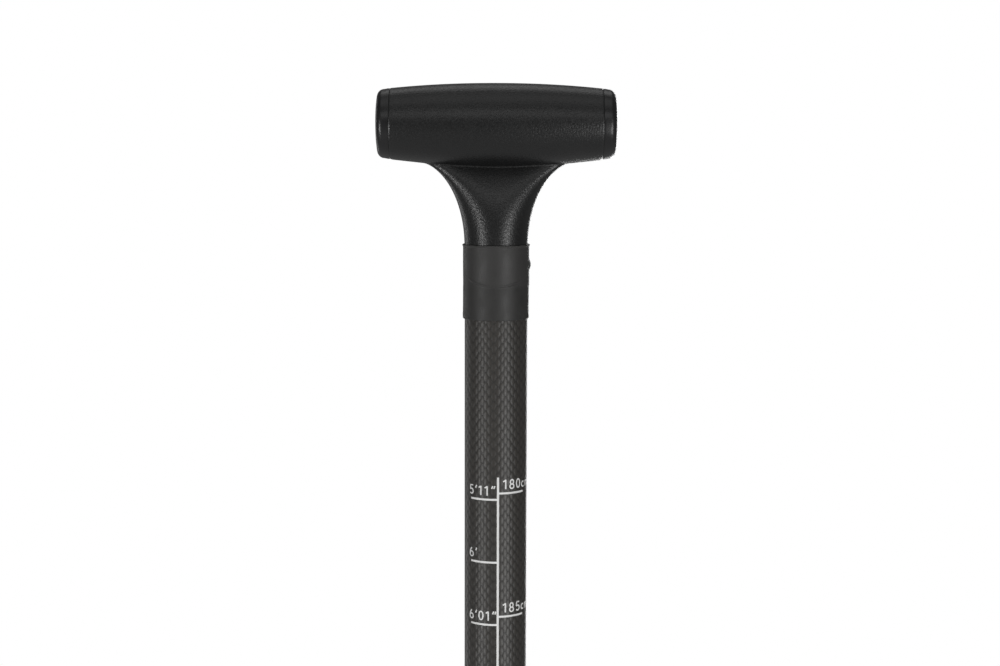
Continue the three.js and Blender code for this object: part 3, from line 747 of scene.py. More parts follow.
def grip_body():
    """Barrel and neck as one skin: joined, remeshed, then pulled onto the exact rounded shape."""
    stops = np.linspace(-1, 1, 41) * (SEAM_X + 2 * MM)
    profile = [(0, stops[0])] + [(barrel_radius(x), x) for x in stops] + [(0, stops[-1])]
    obj = along_x(turned(profile))
    rings = []
    turns = np.linspace(0, 2 * pi, 96, endpoint=False)
    for drop in np.linspace(NECK_ROOT + 2 * MM, NECK_END, 40):
        wide, deep, power = neck_section(drop)
        spots = np.stack([np.cos(turns), np.sin(turns)], 1)
        spots = np.sign(spots) * np.abs(spots) ** (2 / power) * (wide, deep)
        rings.append([(x, y, -drop) for x, y in spots])
    joined(obj, loft(rings))
    step = obj.modifiers.new("remesh", "REMESH")
    step.mode = "VOXEL"
    step.voxel_size = VOXEL
    applied(obj)
    points = np.array([v.co for v in obj.data.vertices])
    side = np.abs(points[:, 0]) < SEAM_X + MM
    points[side] = pulled_onto(grip_field, points[side])
    obj.data.vertices.foreach_set("co", points.ravel().astype(np.float32))
    barrel_ends(obj)
    return shifted(obj, z=BARREL_Z)


def barrel_ends(obj):
    """Cuts the barrel's ends square and turns each into a rounded lip round the bore."""
    with edited(obj.data) as shape:
        for side in (-1, 1):
            barrel_end(shape, side)
        bmesh.ops.recalc_face_normals(shape, faces=shape.faces)


def barrel_end(shape, side):
    cut_x = side * (SEAM_X - BARREL_CUT)
    everything = [*shape.verts, *shape.edges, *shape.faces]
    bmesh.ops.bisect_plane(
        shape, geom=everything, plane_co=(cut_x, 0, 0), plane_no=(side, 0, 0), clear_outer=True
    )
    rim = [e for e in shape.edges if e.is_boundary and abs(e.verts[0].co.x - cut_x) < 0.01 * MM]
    wall = SEAM_R - BARREL_BORE_R
    for inward, dip in BARREL_LIP + [(0, wall), (BARREL_BORE_DEPTH, wall)]:
        x = side * (SEAM_X - inward)
        radius = barrel_radius(x) - dip
        made = bmesh.ops.extrude_edge_only(shape, edges=rim)["geom"]
        for vertex in (v for v in made if isinstance(v, bmesh.types.BMVert)):
            turn = atan2(vertex.co.z, vertex.co.y)
            vertex.co = (x, radius * cos(turn), radius * sin(turn))
        rim = [e for e in made if isinstance(e, bmesh.types.BMEdge) and e.is_boundary]
    bmesh.ops.holes_fill(shape, edges=rim)


def grip_cap(side):
    """Domed end cap with a hollow spigot that is pushed into the barrel."""
    seam = SEAM_X + 0.04 * MM
    edge_x = BARREL_HALF - CAP_DOME - CAP_EDGE_R
    wall_x, spigot_x = SEAM_X + CAP_WALL, SEAM_X - SPIGOT_LENGTH
    profile = [(0, wall_x), (SPIGOT_BORE_R, wall_x), (SPIGOT_BORE_R, spigot_x), (SPIGOT_R, spigot_x)]
    profile += [(SPIGOT_R, seam), (SEAM_R - 1.3 * CAP_STEP, seam)]
    profile += [(SEAM_R - 0.9 * CAP_STEP, seam + 0.03 * MM), (SEAM_R - CAP_STEP, seam + 0.8 * MM)]
    for turn in np.linspace(0, pi / 2, 12):
        radius = CAP_END_R - CAP_EDGE_R * (1 - cos(turn))
        profile.append((radius, edge_x + CAP_EDGE_R * sin(turn)))
    top_r = CAP_END_R - CAP_EDGE_R
    for share in np.linspace(0.1, 1, 8):
        radius = top_r + (CAP_FLAT_R - top_r) * share
        profile.append((radius, BARREL_HALF - CAP_DOME * (1 - share) ** 2))
    profile.append((0, BARREL_HALF))
    obj = shifted(along_x(turned(profile)), z=BARREL_Z)
    return moved(obj, Matrix.Rotation(pi, 4, "Z")) if side < 0 else obj


# ---- sleeve, rivet and inner tube


def sleeve_radius(turn, z):
    """Outer radius of the shrunk film: lip, nub over the rivet, fold over the joint, crinkled lower end."""

    def swell(middle_z, half):
        return np.exp(-(((z - middle_z) / half) ** 2))

    front = (turn + pi / 2 + pi) % (2 * pi) - pi
    fold_z = SHAFT_TOP_Z - FOLD_BELOW_JOINT + FOLD_CURL * (1 - cos(front)) * (abs(front) < 1.2)
    below = smooth((fold_z - z) / (0.7 * MM) + 0.5)
    ridge = (0.06 + 0.16 * smooth(-front / 0.6) + 0.24 * smooth(front / 0.7)) * swell(fold_z, BEAD_HALF)
    hollow = 0.2 * below * np.exp(-max(fold_z - z, 0) / FOLD_FADE)
    nub = hypot((turn if turn < pi else turn - 2 * pi) * SLEEVE_R, z - RIVET_Z) / NUB_R
    low_end = smooth((SLEEVE_LOW_Z + CRINKLE_LENGTH - z) / CRINKLE_LENGTH)
    waves = sin(turn * 46 + 600 * z) * sin(turn * 29 - 2100 * z + 1)

    radius = SLEEVE_R - (SLEEVE_R - SLEEVE_LOW_R) * below
    radius += (ridge - hollow) * MM * (1 - smooth((abs(front) - 0.75) / 0.35))
    radius += SLEEVE_LIP_RISE * swell(SLEEVE_TOP_Z - SLEEVE_LIP, BEAD_HALF)
    radius += NUB_RISE * np.exp(-(nub**2.6))
    radius += CRINKLE * waves * low_end * smooth((abs(front) - 0.7) / 0.4)
    radius -= SLEEVE_OVAL * cos(turn) * below
    return radius + SLEEVE_WOBBLE * sin(3 * turn + 240 * z)


def shrink_sleeve():
    sides = 320
    turns = [2 * pi * k / sides for k in range(sides)]
    heights = np.linspace(SLEEVE_LOW_Z, SLEEVE_TOP_Z, 150)
    inset = [0.12 * MM] + [0] * (len(heights) - 2) + [0.15 * MM]
    rows = [[(sleeve_radius(a, z) - short, a, z) for a in turns] for short, z in zip(inset, heights)]
    inside = [(SLEEVE_R - SLEEVE_WALL - 0.02 * MM, SLEEVE_TOP_Z), (SLEEVE_LOW_R - SLEEVE_WALL, SLEEVE_LOW_Z)]
    rows += [[(radius, a, z) for a in turns] for radius, z in inside]
    points = [(r * cos(a), r * sin(a), z) for row in rows for r, a, z in row]
    faces = grid_faces(len(rows), sides, wrap=True)
    last = (len(rows) - 1) * sides
    faces += [[last + k, last + (k + 1) % sides, (k + 1) % sides, k] for k in range(sides)]
    return make(points, faces)


def grip_rivet():
    head_x = high("grip_rivet").x
    shank_x = low("grip_rivet").x
    seat = NECK_R + 0.1 * MM
    rim = seat + 0.2 * MM
    profile = [(0, shank_x), (RIVET_R, shank_x), (RIVET_R, seat), (RIVET_HEAD_R, seat)]
    for turn in np.linspace(0.25, pi / 2, 6):
        profile.append((RIVET_HEAD_R * cos(turn - 0.25), rim + (head_x - rim) * sin(turn)))
    profile[-1] = (0, head_x)
    return shifted(along_x(turned(profile, SMALL_SIDES)), z=RIVET_Z)


def inner_tube(node, bore):
    bottom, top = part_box(node)
    return tube(bore, top.x, bottom.z, top.z, edge=0.4 * MM)


# ---- printed scale

# strokes of each glyph in a box one high, drawn as lines and arcs
GLYPHS = {
    "0": (0.6, [arc(0.3, 0.5, 0.21, 0.42, 90, 450, 26)]),
    "1": (0.5, [[(0.06, 0.76), (0.3, 0.92)], [(0.3, 0.96), (0.3, 0.04)]]),
    "2": (0.6, [arc(0.3, 0.69, 0.21, 0.23, 165, -35) + [(0.1, 0.08)], [(0.06, 0.08), (0.54, 0.08)]]),
    "3": (0.6, [arc(0.28, 0.7, 0.2, 0.21, 150, -90), arc(0.28, 0.28, 0.23, 0.21, 90, -150)]),
    "4": (0.62, [[(0.42, 0.04), (0.42, 0.94), (0.06, 0.3), (0.58, 0.3)]]),
    "5": (0.6, [[(0.5, 0.92), (0.16, 0.92), (0.12, 0.54)], arc(0.29, 0.33, 0.22, 0.25, 140, -145)]),
    "6": (0.62, [arc(0.31, 0.32, 0.22, 0.24, 90, 450, 22), arc(0.5, 0.36, 0.41, 0.58, 180, 112)]),
    "7": (0.58, [[(0.06, 0.92), (0.52, 0.92), (0.2, 0.04)]]),
    "8": (0.62, [arc(0.31, 0.7, 0.17, 0.22, 90, 450, 20), arc(0.31, 0.28, 0.21, 0.22, 90, 450, 20)]),
    "9": (0.62, [arc(0.31, 0.68, 0.22, 0.24, 90, 450, 22), arc(0.12, 0.64, 0.41, 0.58, 0, -68)]),
    "'": (0.26, [[(0.2, 0.98), (0.1, 0.7)]]),
    '"': (0.46, [[(0.2, 0.98), (0.1, 0.7)], [(0.4, 0.98), (0.3, 0.7)]]),
    "c": (0.54, [arc(0.3, 0.33, 0.21, 0.25, 50, 310)]),
    "m": (0.86, [
        [(0.1, 0.04), (0.1, 0.62)],
        arc(0.26, 0.42, 0.16, 0.16, 180, 0, 9) + [(0.42, 0.04)],
        arc(0.58, 0.42, 0.16, 0.16, 180, 0, 9) + [(0.74, 0.04)],
    ]),
}


class Print:
    """Ink ribbons laid on the handle shaft. Points are (arc length to the right of the line, height)."""

    def __init__(self):
        self.points = []
        self.faces = []
        self.layer = 0

    def ribbon(self, path, width):
        """One closed ribbon along a path, each a hair above the last so that none lie in one plane."""
        fine = [np.array(path[0], float)]
        for stop in path[1:]:
            start, stop = fine[-1].copy(), np.array(stop, float)
            steps = max(1, int(np.linalg.norm(stop - start) / (0.7 * MM))) if stop[0] != start[0] else 1
            fine += [start + (stop - start) * (k + 1) / steps for k in range(steps)]
        self.layer = (self.layer + 1) % 5
        top = SHAFT_R + INK + self.layer * 0.003 * MM
        first = len(self.points)
        for i, spot in enumerate(fine):
            ahead = fine[min(i + 1, len(fine) - 1)] - fine[max(i - 1, 0)]
            across = np.array([-ahead[1], ahead[0]]) / np.linalg.norm(ahead) * width / 2
            for side, radius in ((1, top), (-1, top), (-1, SHAFT_R - INK), (1, SHAFT_R - INK)):
                length, height = spot + side * across
                turn = SCALE_TURN + length / SHAFT_R
                self.points.append((radius * sin(turn), -radius * cos(turn), height))
        self.faces += grid_faces(len(fine), 4, first, wrap=True)
        last = len(self.points) - 4
        self.faces += [[first + k for k in range(4)], [last + k for k in range(4)]]

    def text(self, words, start, base):
        """Writes words from an arc length, on a base line."""
        for letter in words:
            width, strokes = GLYPHS[letter]
            wide = GLYPH_HEIGHT * GLYPH_STRETCH
            for stroke in strokes:
                self.ribbon([(start + x * wide, base + y * GLYPH_HEIGHT) for x, y in stroke], GLYPH_STROKE)
            start += width * wide + GLYPH_SPACE

    def finish(self, name):
        made = make(self.points, self.faces)
        made.name = name
        made.data.materials.append(ink.material)
        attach(made, "handle_section")


def cm_z(length_cm):
    """Height on the shaft of the mark for a whole-paddle length."""
    return MARK_180_Z - (length_cm - 180) * 10 * MM


def printed_scale():
    """A line down the front, centimetres every 5 on its right, and feet and inches on its left."""
    lines, numbers = Print(), Print()
    lines.ribbon([(0, cm_z(180) + LINE_RISE), (0, cm_z(SCALE_LAST_CM) - LINE_RISE)], LINE_WIDTH)
    for length in range(180, SCALE_LAST_CM + 1, 5):
        z = cm_z(length)
        lines.ribbon([(0, z), (TICK_LENGTH, z)], TICK_WIDTH)
        numbers.text(f"{length}cm", CM_TEXT_FROM, z + GLYPH_RISE)
    for inches in SCALE_INCHES:
        z = cm_z(inches * CM_PER_INCH) + INCH_SCALE_SHIFT
        lines.ribbon([(0, z), (-TICK_LENGTH, z)], TICK_WIDTH)
        feet, rest = divmod(inches, 12)
        words = f"{feet}'" + (f'{rest:02d}"' if rest else "")
        numbers.text(words, INCH_TEXT_FROM, z + GLYPH_RISE)
    lines.finish("scale_lines")
    numbers.finish("scale_numbers")


# ---- handle's lower end


def end_plug():
    bottom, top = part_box("shaft_end_plug")
    flange = (SHAFT_R - 0.1 * MM, bottom.z + PLUG_FLANGE)
    seat = (BUSH_SEAT_R, high("guide_bush").z + 0.45 * MM)
    return stepped(bottom.z, flange, seat, (SHAFT_BORE_R - 2 * GAP, top.z), edge=0.6 * MM, sides=FINE_SIDES)


def guide_bush():
    """Plain bush with three shallow grease grooves."""
    bottom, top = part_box("guide_bush")
    outer = top.x
    profile = [(BUSH_BORE_R, bottom.z), (outer, bottom.z)]
    for share in (0.25, 0.5, 0.75):
        z = bottom.z + (top.z - bottom.z) * share
        profile += [(outer, z - 2 * GROOVE), (outer - GROOVE, z - GROOVE)]
        profile += [(outer - GROOVE, z + GROOVE), (outer, z + 2 * GROOVE)]
    profile += [(outer, top.z), (BUSH_BORE_R, top.z), (BUSH_BORE_R, bottom.z)]
    return turned(softened(profile, 0.3 * MM))


# ---- clamp


def clamp_collar():
    """Split collar: a banded ring with two rounded ears, bored, slit and counterbored for the screw."""
    edge, band, band_width = 1.6 * MM, 0.5 * MM, 1.8 * MM
    past_low, past_top = COLLAR_LOW_Z - MM, COLLAR_TOP_Z + MM
    profile = [(0, COLLAR_LOW_Z), (COLLAR_R - edge, COLLAR_LOW_Z), (COLLAR_R, COLLAR_LOW_Z + edge)]
    for z in (COLLAR_LOW_Z + 4.6 * MM, COLLAR_TOP_Z - 4.6 * MM - band_width):
        profile += [(COLLAR_R, z), (COLLAR_R - band, z + band)]
        profile += [(COLLAR_R - band, z + band_width - band), (COLLAR_R, z + band_width)]
    profile += [(COLLAR_R, COLLAR_TOP_Z - edge), (COLLAR_R - edge, COLLAR_TOP_Z), (0, COLLAR_TOP_Z)]
    obj = turned(softened(profile, 0.9 * MM))
    ears = block((-EAR_HALF_X, EAR_HALF_X), EAR_Y, (CLAMP_Z - EAR_HALF_Z, CLAMP_Z + EAR_HALF_Z))
    joined(obj, bevelled(ears, 1.4 * MM, 4))
    bore = rod(COLLAR_BORE_R, past_low, past_top, 0, FINE_SIDES)
    split = block((-SPLIT_HALF, SPLIT_HALF), (0, EAR_Y[1] + MM), (past_low, past_top))
    hole = along_x(rod(SCREW_R + 2 * GAP, -EAR_HALF_X - MM, EAR_HALF_X + MM, 0))
    seat = along_x(rod(SCREW_HEAD_R + 2 * GAP, -EAR_HALF_X - MM, SCREW_HEAD_X + GAP, 0))
    holes = [shifted(o, y=SCREW_Y, z=CLAMP_Z) for o in (hole, seat)]
    cut(obj, bore, split, *holes)
    return bevelled(obj, 0.25 * MM, 2, 50)


def clamp_seal():
    """Wiper ring with a thin inner lip."""
    bottom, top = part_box("clamp_seal")
    inner = SHAFT_R + 0.25 * MM
    lip = (inner, bottom.z + 1.2 * MM)
    profile = [lip, (inner + 0.9 * MM, bottom.z), (top.x, bottom.z), (top.x, top.z)]
    profile += [(inner + 0.5 * MM, top.z), lip]
    return turned(softened(profile, 0.25 * MM))


def clamp_screw():
    """Socket cap screw: knurled head, hexagon socket, threaded end."""
    head_x, end_x = low("clamp_screw").x, high("clamp_screw").x
    profile = [(0, head_x), (SCREW_HEAD_R, head_x), (SCREW_HEAD_R, SCREW_HEAD_X), (SCREW_R, SCREW_HEAD_X)]
    profile = softened(profile + [(SCREW_R, THREAD_FROM_X)], 0.35 * MM)
    x = THREAD_FROM_X
    while x + THREAD_PITCH < end_x - 0.4 * MM:
        profile += [(SCREW_R, x), (SCREW_R - THREAD_PITCH / 2, x + THREAD_PITCH / 2)]
        x += THREAD_PITCH
    profile += [(SCREW_R, x), (SCREW_R - 0.4 * MM, end_x), (0, end_x)]
    obj = along_x(turned(profile, SMALL_SIDES))
    socket_r = 1.5 * MM / cos(pi / 6)
    cut(obj, along_x(rod(socket_r, head_x - MM, head_x + 2 * MM, 0, 6)))
    for vertex in obj.data.vertices:
        spot = vertex.co
        if abs(hypot(spot.y, spot.z) - SCREW_HEAD_R) < 0.02 * MM:
            knurl = 1 - 0.015 * (1 + cos(24 * atan2(spot.z, spot.y)))
            spot.y, spot.z = spot.y * knurl, spot.z * knurl
    return shifted(obj, y=SCREW_Y, z=CLAMP_Z)


def clamp_pad():
    bottom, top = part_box("clamp_pad")
    radius = middle("clamp_pad").z - bottom.z
    return shifted(along_x(tube(2.4 * MM, radius, bottom.x, top.x, 0.35 * MM)), y=SCREW_Y, z=CLAMP_Z)


def clamp_pin():
    """Barrel nut with chamfered ends, a cross hole and a screwdriver slot in each end."""
    bottom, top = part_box("clamp_pin")
    obj = shifted(rod(PIN_R, bottom.z, top.z, 0.5 * MM), PIN_X, SCREW_Y)
    hole = shifted(along_x(rod(SCREW_R + GAP, -6 * MM, 6 * MM, 0)), PIN_X, SCREW_Y, CLAMP_Z)
    xs, ys = (PIN_X - 4 * MM, PIN_X + 4 * MM), (SCREW_Y - 0.4 * MM, SCREW_Y + 0.4 * MM)
    slots = [block(xs, ys, (z - 0.9 * MM, z + 0.9 * MM)) for z in (bottom.z, top.z)]
    return bevelled(cut(obj, hole, *slots), 0.12 * MM, 1, 50)


def lever_outline(steps=72):
    """Plan of the arm round the shaft's axis: thick root, even arm, and a lip that curls outwards."""
    outer, inner = [], []
    for share in np.linspace(0, 1, steps):
        turn = LEVER_FROM + (LEVER_TO - LEVER_FROM) * share
        root = 1 - smooth(share / 0.2)
        lip = smooth((share - 0.8) / 0.2)
        out_r = LEVER_OUT_R + (LEVER_ROOT_R - LEVER_OUT_R) * root + (LEVER_LIP_R - LEVER_OUT_R) * lip
        in_r = LEVER_IN_R + 3.4 * MM * lip
        outer.append((out_r * cos(turn), out_r * sin(turn)))
        inner.append((in_r * cos(turn), in_r * sin(turn)))
    return softened(outer + inner[::-1] + outer[:1], 1.2 * MM, 2)[:-1]


def clamp_lever():
    """Cam lever with a tapered arm, finger ribs, and a slot for the pin's nut and screw."""
    bottom, top = CLAMP_Z - LEVER_HALF_Z, CLAMP_Z + LEVER_HALF_Z
    obj = plate(lever_outline(), bottom, top)
    for vertex in obj.data.vertices:
        share = (LEVER_FROM - atan2(vertex.co.y, vertex.co.x)) / (LEVER_FROM - LEVER_TO)
        taper = 1 - 0.22 * smooth((share - 0.1) / 0.8)
        vertex.co.z = CLAMP_Z + (vertex.co.z - CLAMP_Z) * taper
    bevelled(obj, 1.1 * MM, 4)
    cam = rod(CAM_R, bottom, top, 0.8 * MM, 64)
    joined(obj, shifted(cam, PIN_X - CAM_OFFSET, SCREW_Y))
    slot = rod(LEVER_SLOT_R, CLAMP_Z - LEVER_SLOT_HALF, CLAMP_Z + LEVER_SLOT_HALF, 0, 64)
    bore = rod(PIN_R + 0.2 * MM, bottom - MM, top + MM, 0)
    cut(obj, shifted(slot, PIN_X, SCREW_Y), shifted(bore, PIN_X, SCREW_Y))
    return bevelled(joined(obj, *finger_ribs()), 0.2 * MM, 2, 50)


def finger_ribs():
    ribs = []
    for k in range(4):
        turn = LEVER_TO + radians(17 + 4.2 * k)
        reach = LEVER_OUT_R - 0.15 * MM
        obj = rod(RIB_R, -RIB_HALF, RIB_HALF, 0.6 * MM, 24)
        ribs.append(shifted(obj, reach * cos(turn), reach * sin(turn), CLAMP_Z))
    return ribs


# ---- wide shafts and the ferrule joint


def wide_tube(node):
    bottom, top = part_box(node)
    return tube(WIDE_BORE_R, WIDE_R, bottom.z, top.z, 0.35 * MM)


def middle_shaft():
    """The tube is slit in line with the collar's split."""
    slit_top = high("middle_shaft").z + MM
    slit = block((-1.2 * MM, 1.2 * MM), (0, 20 * MM), (COLLAR_LOW_Z + 4 * MM, slit_top))
    return cut(wide_tube("middle_shaft"), slit)


def button_hole():
    return shifted(along_minus_y(rod(BUTTON_HOLE_R, 0, 20 * MM, 0)), z=BUTTON_Z)


def lower_shaft():
    return cut(wide_tube("lower_shaft"), button_hole())


def joint_ferrule():
    return cut(inner_tube("joint_ferrule", FERRULE_BORE_R), button_hole())


def ferrule_plug():
    bottom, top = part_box("ferrule_plug")
    head = (FERRULE_R - 2 * GAP, bottom.z + 2.5 * MM)
    return stepped(bottom.z, head, (FERRULE_BORE_R - 2 * GAP, top.z), edge=0.5 * MM, sides=FINE_SIDES)


def snap_button():
    flange_in, flange_out = 8.2 * MM, 9.4 * MM
    rim = BUTTON_OUT - BUTTON_DOME
    profile = [(0, flange_in), (BUTTON_FLANGE_R, flange_in), (BUTTON_FLANGE_R, flange_out)]
    profile = softened(profile + [(BUTTON_R, flange_out), (BUTTON_R, rim)], 0.25 * MM)
    for turn in np.linspace(0.1, pi / 2, 12):
        profile.append((BUTTON_R * cos(turn), rim + BUTTON_DOME * sin(turn)))
    profile[-1] = (0, BUTTON_OUT)
    return shifted(along_minus_y(turned(profile, SMALL_SIDES)), z=BUTTON_Z)


def button_spring():
    """U-shaped leaf spring: two straight legs and a half-round bend, in YZ."""
    bottom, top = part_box("button_spring")
    outer = (top.y - bottom.y) / 2
    inner = outer - SPRING_WALL
    mid_y, bend_z = bottom.y + outer, bottom.z + outer
    path = [(top.y, top.z)] + arc(mid_y, bend_z, outer, outer, 0, -180, 28) + [(bottom.y, top.z)]
    path += [(bottom.y + SPRING_WALL, top.z)] + arc(mid_y, bend_z, inner, inner, -180, 0, 28)
    path.append((top.y - SPRING_WALL, top.z))
    obj = plate(path, bottom.x, top.x)
    from_xy_to_yz = Matrix(((0, 0, 1, 0), (1, 0, 0, 0), (0, 1, 0, 0), (0, 0, 0, 1)))
    moved(obj, from_xy_to_yz)
    return bevelled(obj, 0.1 * MM, 2, 50)


def foam_plug(node):
    bottom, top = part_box(node)
    return rod(top.x, bottom.z, top.z, 1.2 * MM, FINE_SIDES)


# ---- blade


def outline_at(t, inset):
    """Half width and drop for t from 0 at the throat, to 1 at the widest point, to 2 at the tip."""
    if t <= 1:
        wide = THROAT_R + (BLADE_HALF - inset - THROAT_R) * smooth(t)
        return wide, THROAT_LENGTH + (WIDEST - THROAT_LENGTH) * t
    turn = (t - 1) * pi / 2
    power = 2 / TIP_POWER
    wide = (BLADE_HALF - inset) * max(0, cos(turn)) ** power
    return wide, WIDEST + (BLADE_LENGTH - WIDEST - inset) * sin(turn) ** power


def lean_at(drop):
    past = max(0, drop - LEAN_START)
    slope = tan(BLADE_LEAN)
    return slope * (past * past / (2 * LEAN_BLEND) if past < LEAN_BLEND else past - LEAN_BLEND / 2)


def half_thickness(drop):
    start = SHAFT_IN_BLADE + 4 * MM
    spine = TIP_HALF + SPINE_EXTRA
    body = THROAT_R + (spine - THROAT_R) * smooth((drop - start) / (WIDEST - start))
    thick = body - SPINE_EXTRA * smooth((drop - WIDEST) / (BLADE_LENGTH - WIDEST))
    return thick - (thick - EDGE_HALF) * smooth((drop - BLADE_LENGTH) / TIP_THINNING + 1)


def edge_opening(t):
    """How far the edge has opened, from a closed seam where the guard starts to its full thickness."""
    return smooth(3 * (t - GUARD_FROM))


def blade_stations():
    """(half width, drop, flatness, roundness) down the blade, closer together towards the tip."""
    stations = [(THROAT_R, THROAT_LENGTH * k / 4, 0, 1) for k in range(4)]
    shares = list(np.linspace(0, 1, 56)) + list(1 + (LAST_STATION - 1) * np.linspace(0, 1, 48)[1:] ** 0.8)
    for t in shares:
        wide, drop = outline_at(t, CORE_INSET)
        stations.append((wide, drop, edge_opening(t), 1 - smooth(t / GUARD_FROM)))
    return stations


def half_section(station, side, offset):
    """Half a section on the +Y side (side 1) or the -Y side (side -1), grown by an offset."""
    wide, drop, flat, round_share = station
    edge, thick = EDGE_HALF * flat, half_thickness(drop)
    row = []
    for turn in np.linspace(0, pi, SECTION_STEPS + 1):
        y = edge + (thick - edge) * sin(turn) + offset * (round_share * sin(turn) + 1 - round_share)
        x = (wide + offset * round_share) * cos(turn)
        row.append((x, lean_at(drop) + side * y, BLADE_TOP_Z - drop))
    return row


def throat_rows(side, offset):
    """Rows that roll the laminate over the core's top end, in to the shaft."""
    outer, inner, rise = THROAT_R + offset, WIDE_R + 0.25 * MM, (1.1 * MM if offset > SKIN else 0.3 * MM)
    roll = softened([(outer, 0), (outer, rise), (inner, rise)], min(1.4 * MM, rise), 5)
    rows = []
    turns = np.linspace(0, pi, SECTION_STEPS + 1)
    for radius, up in reversed(roll[1:]):
        rows.append([(radius * cos(a), side * radius * sin(a), BLADE_TOP_Z + up) for a in turns])
    return rows


def blade_skin(side):
    def grid(offset):
        rows = throat_rows(side, offset)
        return rows + [half_section(station, side, offset) for station in blade_stations()]

    return sheet(grid(GAP + SKIN), grid(GAP))


def blade_core():
    hair = 0.05 * MM
    rings = []
    for station in blade_stations():
        wide, drop, flat, round_share = station
        shrink = 1 - CORE_BEHIND_SEAM * min(1 - flat, 1 - round_share) / wide
        middle_y = lean_at(drop)
        ring = [(x * shrink, max(y, middle_y + hair), z) for x, y, z in half_section(station, 1, 0)]
        front = half_section(station, -1, 0)[::-1]
        ring += [(x * shrink, min(y, middle_y - hair), z) for x, y, z in front]
        rings.append(ring)
    socket_low = BLADE_TOP_Z - SHAFT_IN_BLADE - 2 * GAP
    socket = rod(WIDE_R + 2 * GAP, socket_low, BLADE_TOP_Z + MM, 0, FINE_SIDES)
    return cut(loft(rings), socket)


def edge_guard():
    """Rounded bumper rail round the blade's outline."""
    path = list(np.linspace(GUARD_FROM, 1, 50)) + list(1 + np.linspace(0, 1, 60)[1:-1] ** 0.8)
    places = [(t, 1) for t in path] + [(2, 1)] + [(t, -1) for t in reversed(path)]
    section = [(0, 1)] + arc(0.42, 0, 0.58, 1, 90, -90, 15) + [(0, -1)]
    rings = []
    for t, side in places:
        inner, outer = np.array(outline_at(t, GUARD_WIDTH)), np.array(outline_at(t, 0))
        half = EDGE_HALF * edge_opening(t) + GAP + SKIN
        ring = []
        for share, across in section:
            x, drop = inner + (outer - inner) * share
            ring.append((side * x, lean_at(drop) + across * half, BLADE_TOP_Z - drop))
        rings.append(ring)
    return loft(rings)


# ---- assembly

piece(grip_body(), "grip_body")
piece(grip_cap(-1), "grip_cap_left")
piece(grip_cap(1), "grip_cap_right")
piece(inner_tube("grip_ferrule", GRIP_FERRULE_BORE_R), "grip_ferrule")
piece(grip_rivet(), "grip_rivet")
piece(shrink_sleeve(), "shrink_sleeve", sharp=60)
piece(tube(SHAFT_BORE_R, SHAFT_R, SHAFT_END_Z, SHAFT_TOP_Z), "upper_shaft")
piece(foam_plug("upper_foam_plug"), "upper_foam_plug")
piece(end_plug(), "shaft_end_plug")
piece(guide_bush(), "guide_bush")
printed_scale()

piece(clamp_collar(), "clamp_collar")
piece(clamp_seal(), "clamp_seal")
piece(clamp_screw(), "clamp_screw")
piece(clamp_pad(), "clamp_pad")
piece(clamp_pin(), "clamp_pin")
piece(clamp_lever(), "clamp_lever")

piece(middle_shaft(), "middle_shaft", wide_carbon)
piece(joint_ferrule(), "joint_ferrule")
piece(ferrule_plug(), "ferrule_plug")
piece(snap_button(), "snap_button")
spring = piece(button_spring(), "button_spring")
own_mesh(spring)
piece(lower_shaft(), "lower_shaft", wide_carbon)
piece(foam_plug("lower_foam_plug"), "lower_foam_plug")
piece(blade_core(), "blade_core")
piece(blade_skin(-1), "blade_face_skin")
piece(blade_skin(1), "blade_back_skin")
piece(edge_guard(), "blade_edge_guard")


# ---- camera, lights and floor

CAMERA_BACK = 0.7142
CAMERA_SIDE = 0.0016
CAMERA_ABOVE_180 = 0.1412
CAMERA_PITCH = radians(6.28)
CAMERA_ROLL = radians(0.14)
CAMERA_LENS = 64.8

WHITE = (1, 1, 1, 1)
SURROUND = 0.12
SURROUND_BELOW = 0.4
FLOOR_R = 4.6
FADE_FROM_R, FADE_TO_R = 0.8, 3.0


def camera():
    data = bpy.data.cameras.new("camera")
    data.lens = CAMERA_LENS
    data.sensor_width = 36
    obj = linked("camera", data)
    spot = Matrix.Translation((CAMERA_SIDE, -CAMERA_BACK, MARK_180_Z + CAMERA_ABOVE_180))
    tilt = Matrix.Rotation(pi / 2 - CAMERA_PITCH, 4, "X")
    obj.matrix_world = spot @ tilt @ Matrix.Rotation(CAMERA_ROLL, 4, "Z")
    scene.camera = obj


def softbox(name, azimuth, distance, height, size, power):
    """An upright area light that faces the shaft. Azimuth 0 is the camera's side, 90 is +X."""
    data = bpy.data.lights.new(name, "AREA")
    data.shape = "RECTANGLE"
    data.size, data.size_y = size
    data.energy = power
    obj = linked(name, data)
    turn = radians(azimuth)
    obj.location = (distance * sin(turn), -distance * cos(turn), height)
    aim = Vector((0, 0, SHAFT_TOP_Z)) - obj.location
    obj.rotation_euler = aim.to_track_quat("-Z", "Y").to_euler()


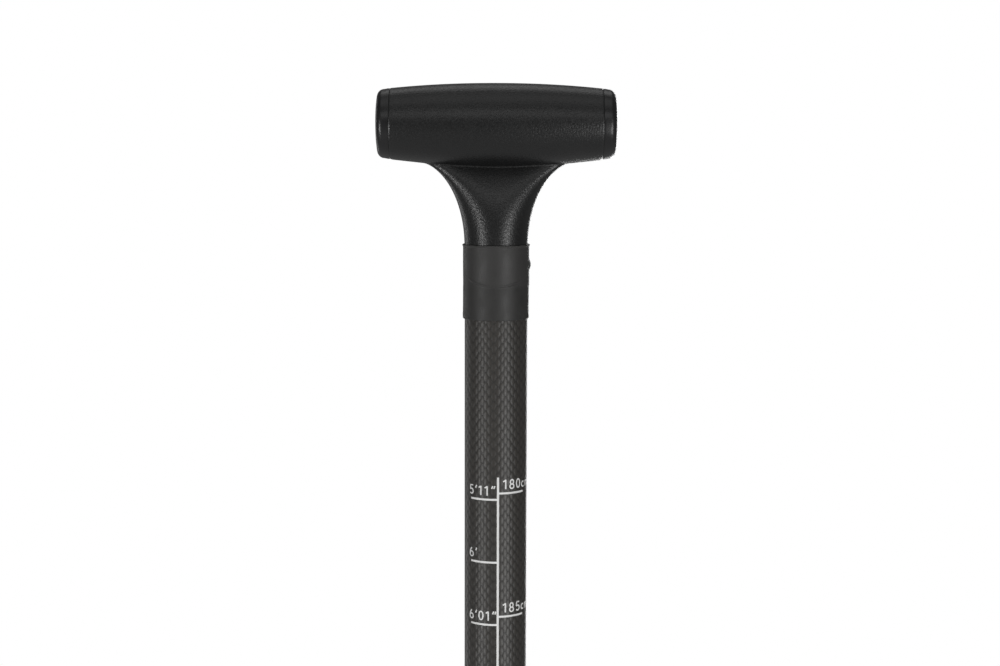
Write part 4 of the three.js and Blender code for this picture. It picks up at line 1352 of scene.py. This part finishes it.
def lights():
    softbox("softbox left", -50, 2.2, 0.3, (0.35, 1.1), 16)
    softbox("softbox right", 37, 2.2, 0.3, (0.6, 1.1), 20)
    softbox("softbox front above", 0, 1.6, 1.8, (2.4, 0.5), 4.5)
    softbox("softbox above", 0, 0.5, 2.8, (2.4, 1.2), 5)
    softbox("softbox back left", -135, 2.4, 0.6, (0.5, 2.2), 5.5)
    softbox("softbox back right", 165, 2.6, 0.6, (0.6, 2.2), 24)
    softbox("softbox back above", 180, 1.2, 2.6, (1.6, 0.8), 4)


def world():
    """White behind everything. The light that falls on the object is dimmer, and stronger from below."""
    made = bpy.data.worlds.new("studio")
    scene.world = made
    made.use_nodes = True
    graph = Graph(made.node_tree)
    direction = graph.node("ShaderNodeTexCoord").outputs["Generated"]
    up = graph.node("ShaderNodeSeparateXYZ", {0: direction}).outputs[2]
    surround = graph.nodes["Background"]
    strength = graph.between(up, -0.1, -0.9, SURROUND, SURROUND_BELOW)
    graph.feed(surround, {"Color": WHITE, "Strength": strength})
    seen = graph.node("ShaderNodeBackground", {"Color": WHITE})
    to_camera = graph.node("ShaderNodeLightPath").outputs["Is Camera Ray"]
    ends = {0: to_camera, 1: surround.outputs[0], 2: seen.outputs[0]}
    mix = graph.node("ShaderNodeMixShader", ends)
    graph.feed(graph.nodes["World Output"], {"Surface": mix.outputs[0]})


def floor():
    """A pale round floor under the blade's tip that fades to plain white at its rim."""
    turns = np.linspace(0, 2 * pi, 96, endpoint=False)
    rim = [(FLOOR_R * cos(a), FLOOR_R * sin(a), cad_low.z) for a in turns]
    obj = make(rim, [list(range(len(rim)))])
    obj.name = "floor"
    look = Look("pale floor", 0.7)
    x, y, _ = look.place()
    reach = look.math("SQRT", look.math("ADD", look.math("MULTIPLY", x, x), look.math("MULTIPLY", y, y)))
    look.colour(look.noise(0.5, detail=2), (0.8, 0.8, 0.8), (0.84, 0.84, 0.84))
    glow = look.between(reach, FADE_FROM_R, FADE_TO_R, 0.5, 1.0)
    emission = look.node("ShaderNodeEmission", {"Color": WHITE, "Strength": 1.0})
    mix = look.node("ShaderNodeMixShader", {0: glow, 1: look.shader.outputs[0], 2: emission.outputs[0]})
    look.feed(look.nodes["Material Output"], {"Surface": mix.outputs[0]})
    obj.data.materials.append(look.material)
    obj.visible_diffuse = False
    obj.visible_glossy = False


camera()
lights()
world()
floor()
scene.view_settings.view_transform = "Standard"
